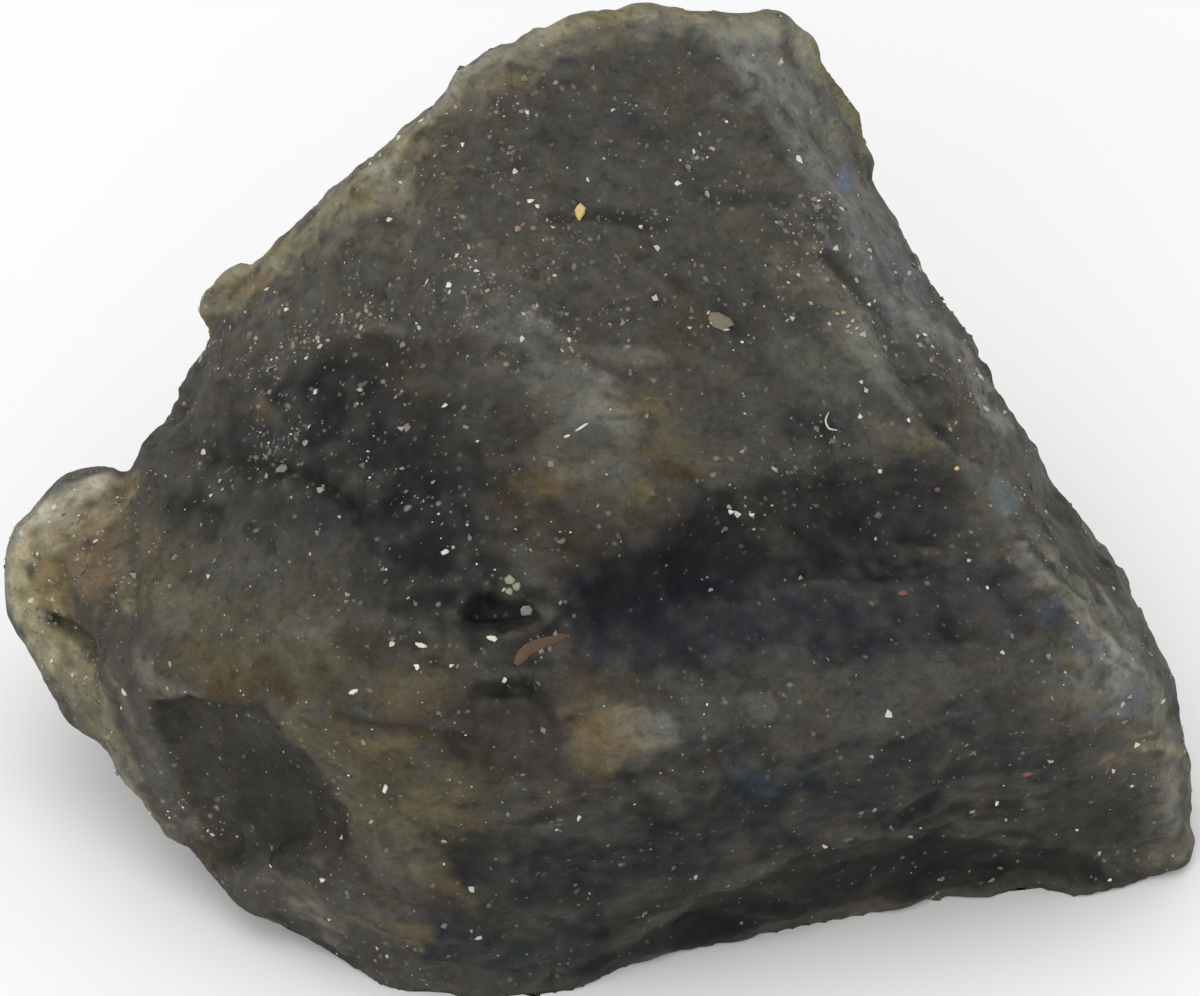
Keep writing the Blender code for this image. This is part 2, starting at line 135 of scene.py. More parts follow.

# Each stain, or mark of painted shadow, shade or glow of light through a thin edge: colour, strength, reach in mm,
# and the line it follows over the stone in mm.
# They are laid one over another in this order.
STAINS_AND_PAINTED_LIGHT = [
    # broad washes of the upper face
    ("ash", 0.90, 6.3, [(0.8, 6.8, 27.9), (-1.6, 1.2, 25.9)]),
    ("ash", 0.80, 4.2, [(-7.4, 0.7, 24.7), (4.1, 0.5, 23.8)]),
    ("lens", 0.70, 3.4, [(6.6, 1.2, 23.3), (9.0, -2.4, 20.9)]),
    ("duskslate", 0.80, 2.9, [(-14.0, -1.9, 18.5), (-10.6, -4.0, 19.6), (-8.1, -9.5, 19.4)]),
    ("dusksage", 0.75, 2.5, [(-9.4, -2.8, 20.7), (-6.0, -7.7, 21.1), (-6.0, -11.7, 19.2)]),
    ("olive", 0.80, 2.5, [(-18.1, -6.6, 13.2), (-12.1, -12.9, 14.9)]),
    ("pinkgrey", 0.60, 2.5, [(-11.2, 4.6, 23.3), (-14.1, 1.5, 19.9)]),
    # broad washes of the step and the front; the dark ones along the step are its dark colour with painted shade
    ("nightblue", 0.90, 2.3, [(0.8, -12.3, 16.0), (6.5, -10.6, 15.1), (15.6, -8.6, 14.4)]),
    ("duskslate", 0.75, 2.1, [(0.4, -11.2, 17.1), (5.7, -7.9, 16.8), (12.4, -4.9, 15.6)]),
    ("lens", 0.75, 1.6, [(3.6, -14.9, 14.5), (10.5, -13.9, 13.3), (15.4, -12.6, 13.0)]),
    ("duskslate", 0.75, 2.5, [(-4.9, -17.2, 6.8), (0.8, -16.8, 7.5), (12.2, -14.4, 9.1)]),
    ("lightmidtan", 0.70, 2.3, [(-10.5, -15.6, 11.4), (-5.2, -17.0, 10.9)]),
    ("duskstone", 0.65, 1.9, [(-5.2, -16.5, 13.8), (-1.6, -16.7, 14.0)]),
    ("duskslate", 0.60, 1.9, [(14.6, -13.9, 11.5), (18.0, -12.7, 9.3)]),
    ("terrace", 0.75, 2.1, [(19.9, -11.2, 5.1), (22.5, -10.3, 4.3)]),
    ("palemoss", 0.75, 1.7, [(20.0, -11.0, 12.1), (22.6, -10.3, 11.0)]),
    # painted shade: dark washes along the undercut foot
    ("coal", 0.95, 1.7, [(4.2, -14.1, 1.0), (10.4, -13.3, 3.2), (17.1, -11.2, 2.3)]),
    ("night", 0.80, 1.7, [(-6.5, -17.8, 3.4), (-0.8, -16.7, 2.4)]),
    # the right flank and its groove
    ("palemoss", 0.85, 1.9, [(6.3, 10.7, 28.1), (9.7, 9.5, 24.8), (12.1, 6.0, 21.6)]),
    ("pinkgrey", 0.85, 2.3, [(15.1, 3.3, 19.0), (17.1, -0.4, 16.6), (20.5, -2.3, 12.2), (22.5, -5.6, 10.7)]),
    ("palemoss", 0.75, 0.9, [(10.4, 3.6, 23.5), (12.0, 0.9, 21.5), (13.6, -2.2, 19.7)]),
    ("jet", 0.60, 0.4, [(10.9, 3.1, 23.1), (12.0, 0.9, 21.5), (13.0, -1.0, 20.3), (14.0, -2.5, 19.4)]),
    ("jet", 0.75, 0.6, [(8.4, 13.0, 27.4), (10.1, 12.3, 25.3), (11.3, 10.6, 22.9), (11.9, 9.0, 21.2)]),
    ("jet", 0.70, 0.6, [(13.9, 6.8, 19.3), (16.3, 2.3, 17.7), (18.9, 0.8, 13.5), (21.3, -2.9, 11.7)]),
    ("dimdun", 0.60, 1.3, [(19.2, -1.5, 13.2), (20.8, -4.8, 12.2)]),
    ("flankpale", 0.60, 0.3, [(4.2, 10.5, 29.2), (7.1, 7.9, 27.0), (9.5, 4.8, 24.4)]),
    ("lightmidsage", 0.45, 0.3, [(9.7, 3.9, 23.9), (11.6, 1.6, 22.0), (14.0, -2.7, 19.3)]),
    ("milk", 0.65, 0.3, [(14.2, -3.0, 18.8), (15.9, -3.8, 16.8), (16.9, -5.5, 15.5)]),
    ("lightpalemoss", 0.80, 0.3, [(17.3, -6.4, 15.4), (18.2, -7.6, 15.1), (19.3, -8.4, 14.2)]),
    ("rimpale", 0.65, 0.3, [(19.3, -8.4, 14.2), (20.3, -9.5, 13.0)]),
    ("rimpale", 0.55, 0.3, [(19.9, -7.9, 13.8), (20.9, -9.0, 12.6), (21.3, -9.7, 12.1)]),
    ("rimpale", 0.45, 0.3, [(20.7, -6.1, 12.8), (21.8, -8.3, 11.9)]),
    ("tealpale", 0.85, 0.6, [(16.7, -3.8, 16.7), (16.9, -4.3, 16.2)]),
    ("deeppaleslate", 0.50, 0.8, [(12.5, 5.0, 21.4), (13.7, 2.9, 20.4)]),
    ("lightpaleslate", 0.55, 0.5, [(11.7, 4.7, 22.1), (12.1, 3.4, 22.0)]),
    ("milkpale", 0.60, 0.4, [(10.4, 6.2, 23.7), (10.7, 6.0, 23.4)]),
    ("palegrey", 0.55, 0.4, [(8.2, 9.3, 26.2), (8.8, 7.2, 25.5)]),
    # the top and upper left rim, pale partly from its own colour and partly from painted glow of light through the
    # thin edge
    ("giltpale", 0.75, 0.7, [(-2.3, 9.5, 29.6), (1.7, 10.8, 29.8), (4.2, 11.3, 29.3)]),
    ("rimpale", 0.70, 0.6, [(-6.2, 7.8, 28.3), (-4.1, 8.9, 29.3), (-1.8, 9.8, 29.8)]),
    ("paletan", 0.70, 1.0, [(-8.1, 6.0, 26.4), (-6.6, 6.9, 27.7), (-4.1, 7.9, 28.8)]),
    ("cream", 0.75, 1.1, [(-11.2, 5.8, 23.6), (-8.7, 4.9, 25.4)]),
    ("beige", 0.55, 0.6, [(-9.1, 5.0, 25.1), (-7.6, 2.9, 25.4)]),
    ("cream", 0.75, 0.7, [(-13.8, 5.2, 21.1), (-12.1, 5.4, 22.7), (-10.6, 5.7, 24.2)]),
    ("lightbrightgold", 0.70, 0.5, [(-10.2, 6.1, 24.7), (-8.3, 6.5, 26.5), (-7.0, 7.2, 27.7)]),
    ("deepbrightgold", 0.80, 0.5, [(-16.1, 6.1, 18.8), (-15.5, 6.3, 19.3)]),
    ("gilt", 0.85, 0.5, [(-16.6, 5.7, 18.1), (-16.3, 5.1, 17.9)]),
    ("nosegold", 0.75, 0.5, [(-15.4, 5.6, 19.2), (-14.1, 4.6, 20.7)]),
    ("gilt", 0.70, 0.4, [(-10.3, 5.7, 24.5), (-9.8, 5.0, 24.6)]),
    ("paleolive", 0.60, 0.7, [(-9.4, 3.0, 24.1), (-8.2, 1.9, 24.6)]),
    ("brim", 0.45, 0.5, [(-10.5, 3.9, 23.7), (-11.2, 3.9, 23.0)]),
    ("midtan", 0.50, 0.8, [(-6.0, 5.8, 27.6), (-5.3, 3.3, 26.9)]),
    ("olive", 0.45, 0.6, [(-7.0, 4.0, 26.4), (-6.2, 2.6, 26.4)]),
    # mottles of the upper face
    ("ashdark", 0.60, 0.8, [(1.1, 6.3, 27.6), (2.1, 5.5, 27.3)]),
    ("terrace", 0.45, 0.9, [(-1.6, 5.9, 28.0), (-0.8, 4.6, 27.4)]),
    ("lens", 0.50, 0.7, [(-2.5, 7.4, 28.7), (-1.8, 6.5, 28.3)]),
    ("lens", 0.55, 0.7, [(-5.3, 2.8, 26.7), (-4.1, 1.6, 26.4)]),
    ("pinkgrey", 0.50, 1.0, [(-4.1, 0.3, 25.6), (-2.4, -0.6, 24.8)]),
    ("jet", 0.55, 0.4, [(0.0, 2.3, 26.0), (1.0, 2.3, 25.8), (2.3, 2.2, 25.4)]),
    ("dimdun", 0.50, 0.5, [(1.7, 1.2, 24.9), (3.7, 1.1, 24.3)]),
    ("lens", 0.60, 0.9, [(2.3, 3.0, 25.8), (4.1, 3.0, 25.3)]),
    ("pinkgrey", 0.55, 1.1, [(6.2, 5.6, 26.2), (7.9, 4.6, 24.6)]),
    ("olive", 0.35, 0.8, [(5.6, 3.0, 24.8), (6.6, 2.3, 24.0)]),
    ("scoopcool", 0.55, 1.1, [(3.7, 5.9, 27.0), (5.0, 4.6, 25.9)]),
    ("dimgold", 0.45, 1.0, [(3.7, -1.5, 22.9), (2.5, -2.6, 22.7)]),
    ("ashdark", 0.40, 0.8, [(0.0, -2.1, 23.3), (1.7, -0.8, 23.9)]),
    ("scoopcool", 0.50, 0.8, [(5.8, 0.4, 22.9), (7.2, -0.3, 22.4)]),
    ("paleolive", 0.60, 0.9, [(7.8, 1.8, 23.5), (9.3, 1.2, 22.8)]),
    ("paleedge", 0.40, 0.6, [(9.7, -0.2, 21.8), (10.3, -0.7, 21.4)]),
    ("milkgreen", 0.55, 0.9, [(7.8, -1.4, 21.7), (9.9, -2.2, 20.8)]),
    ("lens", 0.60, 1.0, [(4.1, -4.2, 21.3), (6.6, -4.6, 20.1)]),
    ("night", 0.60, 0.8, [(8.2, -4.2, 20.1), (10.3, -3.6, 19.8)]),
    ("pinkgrey", 0.35, 0.6, [(9.0, -3.0, 20.6), (10.3, -3.1, 20.2)]),
    ("beige", 0.45, 0.4, [(10.9, -3.4, 19.7), (12.1, -3.4, 19.1)]),
    ("deepsoftgold", 0.65, 0.5, [(11.7, -3.9, 18.9), (14.2, -3.6, 18.3)]),
    ("brim", 0.50, 0.3, [(13.0, -3.3, 18.9), (13.6, -3.4, 18.6)]),
    # the milky rib and the ochre round it
    ("mauvelight", 0.45, 0.9, [(-6.5, 0.7, 25.3), (-4.9, -1.6, 24.5)]),
    ("palegrey", 0.70, 1.3, [(-4.0, -2.4, 24.1), (-2.2, -4.0, 23.1), (-0.6, -5.1, 21.8)]),
    ("brim", 0.55, 0.8, [(0.0, -5.1, 21.8), (1.2, -5.8, 21.3)]),
    ("pinkgrey", 0.65, 0.9, [(-1.6, -6.8, 21.4), (0.8, -6.8, 20.9)]),
    ("palegrey", 0.60, 0.6, [(0.3, -7.3, 20.7), (0.7, -7.7, 20.3)]),
    ("olivepale", 0.55, 0.7, [(1.6, -4.5, 21.6), (2.5, -5.5, 21.1)]),
    ("deepsoftgold", 0.50, 0.7, [(-1.6, -7.3, 21.0), (-2.4, -7.3, 21.3)]),
    ("russet", 0.75, 0.5, [(-3.2, -8.7, 20.9), (-1.4, -8.2, 20.3)]),
    ("gilt", 0.55, 0.4, [(-2.2, -9.1, 20.4), (-1.8, -8.7, 20.4)]),
    ("umber", 0.75, 0.5, [(-3.8, -9.6, 20.6), (-3.1, -10.3, 20.1)]),
    ("gilt", 0.70, 0.5, [(2.0, -6.5, 20.6), (3.4, -6.0, 20.5)]),
    ("softgold", 0.45, 0.5, [(1.6, -7.9, 19.9), (2.0, -8.4, 19.6)]),
    ("olivepale", 0.55, 0.6, [(3.9, -6.5, 20.1), (4.6, -6.2, 20.0)]),
    ("russetdark", 0.65, 0.5, [(2.5, -7.1, 20.1), (3.7, -7.1, 19.8)]),
    ("dusktan", 0.60, 0.9, [(-2.0, -9.8, 19.9), (0.0, -9.9, 19.5)]),
    ("dusktan", 0.55, 0.8, [(-0.8, -11.1, 19.0), (0.8, -10.6, 18.7)]),
    ("umber", 0.55, 0.7, [(1.6, -9.3, 19.2), (3.3, -8.4, 19.2)]),
    ("jet", 0.40, 0.5, [(-1.6, -12.0, 18.7), (-0.6, -11.9, 18.3)]),
    ("olivepale", 0.50, 0.6, [(0.0, -8.5, 20.1), (1.0, -8.6, 19.8)]),
    # the dark field on the left
    ("dimdun", 0.80, 0.5, [(-15.9, -2.3, 16.6), (-13.5, -3.9, 17.7)]),
    ("jet", 0.75, 0.5, [(-12.9, -4.7, 18.0), (-10.3, -7.1, 19.1), (-9.6, -8.7, 19.0)]),
    ("jet", 0.70, 0.4, [(-8.0, -8.5, 20.0), (-9.2, -8.8, 19.1), (-10.2, -9.2, 18.5)]),
    ("dusksage", 0.75, 0.8, [(-17.7, -2.8, 14.7), (-16.0, -4.9, 15.3)]),
    ("terrace", 0.75, 1.1, [(-15.0, -5.2, 16.4), (-11.4, -7.4, 18.0)]),
    ("lens", 0.55, 0.5, [(-12.2, -8.0, 17.3), (-10.5, -9.5, 18.1)]),
    ("char", 0.60, 1.0, [(-16.2, 0.4, 17.6), (-14.4, -2.6, 17.9)]),
    ("terrace", 0.50, 0.8, [(-17.1, 0.1, 16.3), (-15.9, -1.9, 16.8)]),
    ("midtan", 0.55, 0.5, [(-14.9, -0.9, 18.4), (-13.9, -1.7, 18.7)]),
    ("scoopcool", 0.50, 0.5, [(-12.3, -2.9, 19.2), (-12.7, -1.9, 19.7)]),
    ("lens", 0.50, 0.7, [(-12.7, -3.4, 18.6), (-13.4, -2.4, 18.6)]),
    ("jet", 0.55, 0.7, [(-11.4, -1.9, 20.8), (-10.4, -3.1, 20.2)]),
    ("dimdun", 0.65, 0.7, [(-10.3, -0.7, 21.2), (-7.3, -2.7, 22.6)]),
    ("coal", 0.55, 0.6, [(-11.0, -5.5, 19.2), (-8.9, -5.7, 19.6)]),
    ("driftdark", 0.60, 0.6, [(-15.7, 2.4, 18.7), (-14.7, 0.9, 19.2)]),
    ("ash", 0.55, 0.9, [(-13.7, 1.1, 20.2), (-12.0, 0.7, 21.1)]),
    ("deepdusktan", 0.45, 0.6, [(-6.5, -2.9, 22.9), (-5.3, -3.2, 23.7)]),
    ("char", 0.55, 1.1, [(-7.7, -4.2, 20.8), (-5.2, -7.3, 21.8)]),
    ("jet", 0.45, 0.8, [(-3.8, -5.6, 22.2), (-3.0, -6.5, 21.7)]),
    ("olive", 0.35, 0.6, [(-8.4, -2.7, 21.2), (-7.3, -3.4, 21.5)]),
    ("dusksage", 0.60, 1.1, [(-9.2, -11.7, 17.6), (-6.4, -12.9, 18.1)]),
    ("duskslate", 0.45, 0.8, [(-6.4, -9.4, 20.4), (-5.2, -11.2, 19.8)]),
    ("duskslate", 0.50, 0.6, [(-5.2, -12.2, 19.1), (-4.0, -12.0, 19.4)]),
    ("duskslate", 0.50, 0.5, [(-7.4, -11.4, 18.9), (-5.6, -12.1, 19.0)]),
    ("char", 0.40, 0.6, [(-10.1, -10.4, 18.1), (-8.8, -11.0, 18.3)]),
    # the step's wall and pit: dark stone with painted shadow under the step's lip and painted shade in the pit
    ("duskslate", 0.90, 0.7, [(-0.4, -11.7, 17.3), (2.0, -10.7, 16.9), (3.7, -9.1, 16.1)]),
    ("jet", 0.70, 0.6, [(0.5, -10.9, 17.9), (2.0, -10.5, 18.4)]),
    ("terrace", 0.85, 0.9, [(4.1, -8.0, 19.2), (5.0, -7.7, 17.1)]),
    ("duskslate", 0.70, 0.8, [(4.1, -8.9, 16.0), (7.8, -8.9, 16.1)]),
    ("coal", 0.80, 1.0, [(5.7, -7.3, 18.6), (8.2, -7.1, 16.3)]),
    ("dusksage", 0.75, 0.8, [(9.0, -5.5, 17.1), (11.1, -5.0, 15.6)]),
    ("nightblue", 0.75, 0.7, [(11.2, -4.7, 17.6), (13.4, -3.9, 17.1)]),
    ("ashdark", 0.60, 0.8, [(11.5, -4.8, 16.0), (14.9, -4.3, 15.5)]),
    ("ashdark", 0.65, 0.5, [(4.3, -8.7, 16.0), (4.8, -8.3, 16.0)]),
    ("night", 0.60, 0.5, [(5.6, -9.2, 15.5), (6.7, -9.0, 15.8)]),
    ("night", 0.60, 0.8, [(1.6, -12.9, 15.2), (4.1, -13.2, 14.9)]),
    ("night", 0.80, 0.2, [(8.4, -9.0, 16.0), (11.4, -7.9, 15.0)]),
    ("duskslate", 0.75, 0.2, [(11.7, -5.5, 15.0), (13.7, -5.7, 15.1)]),
    ("jet", 0.40, 0.5, [(11.4, -9.8, 14.8), (12.2, -9.8, 14.5)]),
    ("jet", 1.00, 0.8, [(-5.0, -13.3, 17.9), (-3.7, -13.3, 18.1)]),
    ("jet", 0.85, 0.5, [(-2.8, -13.2, 18.1), (-1.7, -13.2, 17.7)]),
    ("jet", 0.55, 0.4, [(-7.0, -12.9, 18.1), (-5.8, -12.9, 18.1)]),
    ("jet", 0.55, 0.5, [(-6.4, -13.5, 17.4), (-4.8, -14.3, 17.4)]),
    ("jet", 0.80, 0.5, [(-5.0, -15.7, 15.8), (-3.0, -15.1, 15.3)]),
    ("duskstone", 0.70, 0.6, [(-6.8, -14.8, 16.4), (-5.2, -15.9, 15.4)]),
    ("lens", 0.40, 0.8, [(14.8, -6.5, 14.8), (15.8, -9.4, 14.0)]),
    ("ash", 0.35, 0.8, [(14.7, -8.4, 14.8), (16.3, -9.9, 13.9)]),
    # the left shoulder above the scoop
    ("tansoft", 0.70, 0.8, [(-20.1, -2.0, 13.1), (-18.7, -3.9, 13.3)]),
    ("driftlight", 0.60, 0.8, [(-18.6, -6.1, 13.0), (-16.8, -7.9, 13.5)]),
    ("palegrey", 0.55, 0.6, [(-17.8, -8.2, 13.0), (-17.2, -8.6, 13.2)]),
    ("mauvelight", 0.60, 0.8, [(-16.2, -6.7, 14.2), (-13.6, -8.6, 15.9)]),
    ("milkgreen", 0.40, 0.5, [(-15.9, -9.1, 14.0), (-15.3, -10.0, 14.2)]),
    ("pinkgrey", 0.55, 0.7, [(-12.1, -11.7, 15.9), (-11.1, -12.3, 16.1)]),
    ("lens", 0.35, 0.4, [(-14.4, -10.0, 14.9), (-13.9, -10.6, 15.0)]),
    ("umber", 0.75, 0.6, [(-13.7, -12.4, 14.0), (-12.6, -13.7, 14.0)]),
    ("russet", 0.55, 0.8, [(-17.8, -9.8, 12.4), (-14.8, -12.4, 13.1)]),
    ("dusktan", 0.45, 0.7, [(-11.3, -13.9, 14.7), (-10.4, -14.9, 14.5)]),
    ("dusktan", 0.50, 0.8, [(-10.0, -13.1, 16.1), (-8.0, -14.2, 16.3)]),
    ("olivepale", 0.70, 1.0, [(-8.2, -15.3, 15.4), (-7.2, -15.7, 15.4)]),
    ("dimgold", 0.85, 0.3, [(-10.5, -15.1, 13.8), (-8.8, -15.9, 13.9), (-6.7, -16.1, 13.6)]),
    ("tansoft", 0.80, 0.4, [(-9.6, -15.7, 12.8), (-7.8, -16.1, 13.1)]),
    ("flankpale", 0.70, 0.3, [(-19.1, -8.7, 11.8), (-18.6, -9.9, 11.1), (-17.0, -11.8, 11.7)]),
    ("olive", 0.50, 0.6, [(-6.4, -15.4, 16.1), (-5.6, -15.7, 15.8)]),
    ("paleolive", 0.45, 0.8, [(-18.1, -8.1, 12.9), (-17.2, -7.6, 13.5)]),
    ("russetdark", 0.50, 0.5, [(-15.8, -12.1, 12.6), (-14.2, -13.0, 13.2)]),
    # the scoop and its ridge
    ("char", 0.92, 1.9, [(-16.8, -11.2, 9.0), (-14.8, -11.8, 7.9), (-13.1, -14.4, 6.4)]),
    ("duskstone", 0.85, 1.1, [(-17.8, -11.0, 9.7), (-14.0, -13.8, 12.0)]),
    ("lens", 0.80, 1.1, [(-12.2, -15.3, 9.5), (-11.0, -16.1, 7.4)]),
    ("mauvelight", 0.60, 0.8, [(-18.5, -10.4, 9.4), (-17.9, -10.8, 8.4)]),
    ("olive", 0.75, 0.5, [(-12.4, -14.6, 13.0), (-11.9, -15.1, 12.4), (-10.6, -15.5, 11.7)]),
    ("olive", 0.70, 0.6, [(-10.3, -15.7, 11.4), (-9.6, -16.3, 10.3), (-9.2, -16.6, 9.0)]),
    ("mauvelight", 0.60, 0.5, [(-11.4, -15.4, 11.5), (-10.6, -15.7, 10.6)]),
    ("deepdusktan", 0.45, 0.6, [(-10.7, -16.3, 6.7), (-9.7, -16.7, 6.3)]),
    ("paleolive", 0.75, 0.5, [(-13.9, -14.1, 4.2), (-12.3, -15.4, 4.7), (-10.9, -15.8, 2.7)]),
    ("duskstone", 0.40, 0.4, [(-12.2, -15.6, 6.2), (-11.4, -15.9, 6.1)]),
    ("russetdark", 0.50, 0.5, [(-9.3, -16.9, 5.9), (-8.5, -17.3, 5.4)]),
    ("tansoft", 0.60, 0.6, [(-9.4, -16.6, 4.0), (-7.3, -17.7, 4.2)]),
    ("deepsoftgold", 0.70, 0.5, [(-9.0, -16.7, 8.2), (-8.3, -17.0, 7.0)]),
    ("coal", 0.70, 0.9, [(-6.6, -16.9, 8.3), (-5.3, -16.8, 8.1)]),
    ("tan", 0.50, 0.8, [(-7.3, -16.6, 10.5), (-5.6, -16.9, 10.6)]),
    ("jet", 0.60, 0.3, [(-7.6, -16.3, 12.1)]),
    ("midgold", 0.65, 0.5, [(-6.7, -17.4, 6.3), (-6.0, -17.1, 6.7)]),
    ("jet", 0.40, 0.4, [(-8.7, -16.2, 10.8), (-8.4, -16.5, 10.5)]),
    # the nose and the left edge
    ("deepdusktan", 0.92, 1.1, [(-23.0, -0.3, 12.9), (-21.4, -0.3, 13.6)]),
    ("snowolive", 0.90, 0.8, [(-24.2, -1.4, 11.2), (-23.7, -0.8, 12.4)]),
    ("lightbrightgold", 0.85, 1.0, [(-22.6, -1.4, 12.6), (-23.4, -2.0, 11.7)]),
    ("straw", 0.80, 0.6, [(-24.6, -2.3, 10.0), (-24.2, -3.1, 9.1)]),
    ("nosegold", 0.85, 0.8, [(-23.0, -3.2, 11.1), (-22.5, -4.0, 10.4)]),
    ("lightsoftgold", 0.75, 0.8, [(-21.9, -3.1, 12.0), (-21.3, -4.4, 11.9)]),
    ("lightsoftgold", 0.60, 0.6, [(-20.8, -2.9, 12.8), (-20.5, -4.5, 12.2)]),
    ("straw", 0.85, 0.6, [(-23.4, -4.2, 8.4), (-22.6, -5.2, 8.1)]),
    ("palegold", 0.80, 0.7, [(-21.5, -6.3, 8.4), (-20.6, -8.1, 8.4)]),
    ("warmsoftgold", 0.75, 0.5, [(-20.5, -8.2, 7.7), (-20.0, -8.8, 6.9)]),
    ("pinkgrey", 0.60, 0.7, [(-18.6, -10.4, 6.6), (-17.4, -10.9, 4.3)]),
    ("palegrey", 0.70, 0.4, [(-22.4, -5.8, 7.0), (-20.9, -7.7, 5.6), (-19.1, -10.0, 4.6)]),
    ("dimdun", 0.55, 0.4, [(-18.7, -10.0, 3.8), (-16.9, -11.7, 3.1)]),
    ("russetdark", 0.55, 0.5, [(-16.8, -11.7, 3.6), (-16.0, -12.5, 3.0)]),
    ("jet", 0.50, 0.5, [(-15.7, -12.9, 2.4), (-14.7, -13.8, 2.7)]),
    ("jet", 0.50, 0.6, [(-13.2, -14.3, 1.5), (-10.3, -15.3, 0.1)]),
    ("noseolive", 0.95, 0.3, [(-22.7, -4.1, 9.5), (-22.0, -5.1, 9.7), (-21.3, -6.0, 9.8)]),
    # the front face
    ("tan", 0.85, 1.0, [(-0.3, -16.3, 13.2), (0.9, -15.8, 14.0)]),
    ("jet", 0.60, 0.6, [(0.0, -17.2, 12.8), (0.8, -16.5, 12.7)]),
    ("mint", 0.90, 0.5, [(2.4, -15.8, 13.7), (2.6, -16.0, 13.6)]),
    ("giltpale", 0.60, 0.3, [(1.8, -16.0, 13.2), (2.0, -16.0, 13.3)]),
    ("dimgold", 0.60, 0.8, [(-1.2, -14.1, 14.7), (0.8, -14.4, 14.6)]),
    ("dimtan", 0.40, 0.3, [(1.6, -14.3, 14.6), (2.8, -14.8, 14.4)]),
    ("coal", 0.55, 0.5, [(-2.2, -17.0, 13.1), (-1.7, -17.2, 12.8)]),
    ("duskstone", 0.60, 0.5, [(-0.9, -17.5, 11.9), (1.1, -17.1, 12.2)]),
    ("dimdun", 0.55, 0.8, [(-4.0, -16.8, 13.6), (-2.8, -17.4, 12.4)]),
    ("warmduskslate", 0.45, 0.5, [(-5.2, -17.0, 10.6), (-4.0, -17.2, 10.8)]),
    ("tealdark", 0.50, 0.4, [(-3.4, -17.2, 11.4), (-2.8, -17.2, 11.2)]),
    ("midslate", 0.90, 0.5, [(6.4, -15.7, 10.7), (6.9, -15.4, 10.1)]),
    ("warmduskslate", 0.55, 0.9, [(5.5, -16.1, 11.8), (8.1, -15.0, 10.3)]),
    ("jet", 0.60, 1.0, [(2.0, -17.0, 10.4), (4.9, -16.4, 9.6)]),
    ("duskslate", 0.60, 0.8, [(4.0, -16.6, 12.8), (6.5, -15.7, 12.8)]),
    ("dusktan", 0.35, 0.5, [(8.1, -14.9, 13.0), (9.1, -15.0, 12.6)]),
    ("milkgreen", 0.35, 0.6, [(9.7, -14.5, 13.1), (10.9, -14.3, 12.8)]),
    ("mauvelight", 0.50, 0.5, [(11.3, -13.7, 13.7), (14.2, -12.8, 13.2)]),
    ("mauvelight", 0.55, 0.3, [(13.4, -14.0, 12.5), (15.6, -13.3, 12.4)]),
    ("terrace", 0.45, 0.7, [(12.2, -14.7, 11.1), (11.4, -14.6, 8.8)]),
    ("dusksage", 0.40, 0.4, [(13.5, -14.1, 9.2), (16.4, -13.1, 9.1)]),
    ("jet", 0.75, 1.1, [(12.3, -13.9, 7.1), (16.5, -12.2, 5.8)]),
    ("ashdark", 0.50, 0.6, [(7.8, -15.1, 8.4), (10.2, -14.6, 8.8)]),
    ("duskslate", 0.45, 0.5, [(4.1, -15.7, 5.8), (9.4, -14.6, 6.3)]),
    ("jet", 0.60, 0.8, [(-1.6, -16.9, 0.5), (1.7, -15.5, 1.2)]),
    ("duskslate", 0.50, 0.6, [(-3.2, -17.1, 7.8), (0.0, -16.7, 6.3)]),
    ("mossgrey", 0.50, 0.8, [(-4.9, -17.5, 6.0), (-2.8, -17.2, 3.9)]),
    # the right corner of the front
    ("ash", 0.65, 1.0, [(16.7, -11.6, 13.2), (18.3, -12.0, 12.5)]),
    ("lightmidsage", 0.90, 0.5, [(18.2, -9.0, 14.2), (18.5, -9.4, 14.0)]),
    ("olive", 0.75, 0.3, [(19.0, -9.8, 13.5), (19.2, -10.8, 12.9)]),
    ("softslate", 0.80, 0.5, [(19.7, -9.6, 13.3), (20.4, -9.9, 12.7)]),
    ("lightsoftslate", 0.45, 0.3, [(18.7, -8.6, 14.3), (19.1, -8.9, 14.0)]),
    ("milkpale", 0.75, 0.3, [(20.4, -10.0, 12.6), (21.3, -9.9, 12.0), (21.9, -10.6, 11.3)]),
    ("paleedge", 0.45, 0.3, [(22.2, -9.0, 11.5), (22.6, -10.3, 11.0)]),
    ("dimdun", 0.50, 0.3, [(16.7, -12.3, 12.8), (17.7, -12.3, 12.5)]),
    ("deepsoftgold", 0.65, 0.3, [(18.4, -12.4, 12.3), (19.5, -12.2, 11.5), (21.0, -11.3, 11.1)]),
    ("paleolive", 0.55, 0.5, [(19.1, -12.1, 12.3), (20.2, -11.4, 11.8)]),
    ("midtan", 0.60, 0.5, [(19.6, -12.1, 10.5), (22.2, -10.7, 9.5)]),
    ("tan", 0.75, 0.5, [(20.9, -11.4, 7.9), (21.9, -10.8, 7.7), (22.8, -10.3, 8.0)]),
    ("warmsoftgold", 0.55, 0.2, [(21.0, -11.3, 7.4), (22.8, -10.5, 7.2)]),
    ("noseolive", 0.50, 0.3, [(22.1, -10.7, 8.7), (22.8, -10.6, 8.8)]),
    ("palemoss", 0.65, 0.5, [(23.1, -9.6, 9.8), (24.0, -8.9, 7.5)]),
    ("jet", 0.55, 0.6, [(23.8, -7.5, 9.1), (24.1, -7.6, 8.0)]),
    ("lightpalemoss", 0.70, 0.6, [(23.6, -9.8, 5.6), (24.2, -9.5, 2.7)]),
    ("char", 0.70, 1.2, [(19.2, -11.3, 3.5), (21.7, -10.5, 3.4)]),
    ("jet", 0.50, 0.6, [(19.2, -11.1, 1.6), (21.4, -10.3, 0.7)]),
    ("paleedge", 0.60, 0.5, [(23.0, -9.8, 1.2), (24.4, -9.5, 1.2)]),
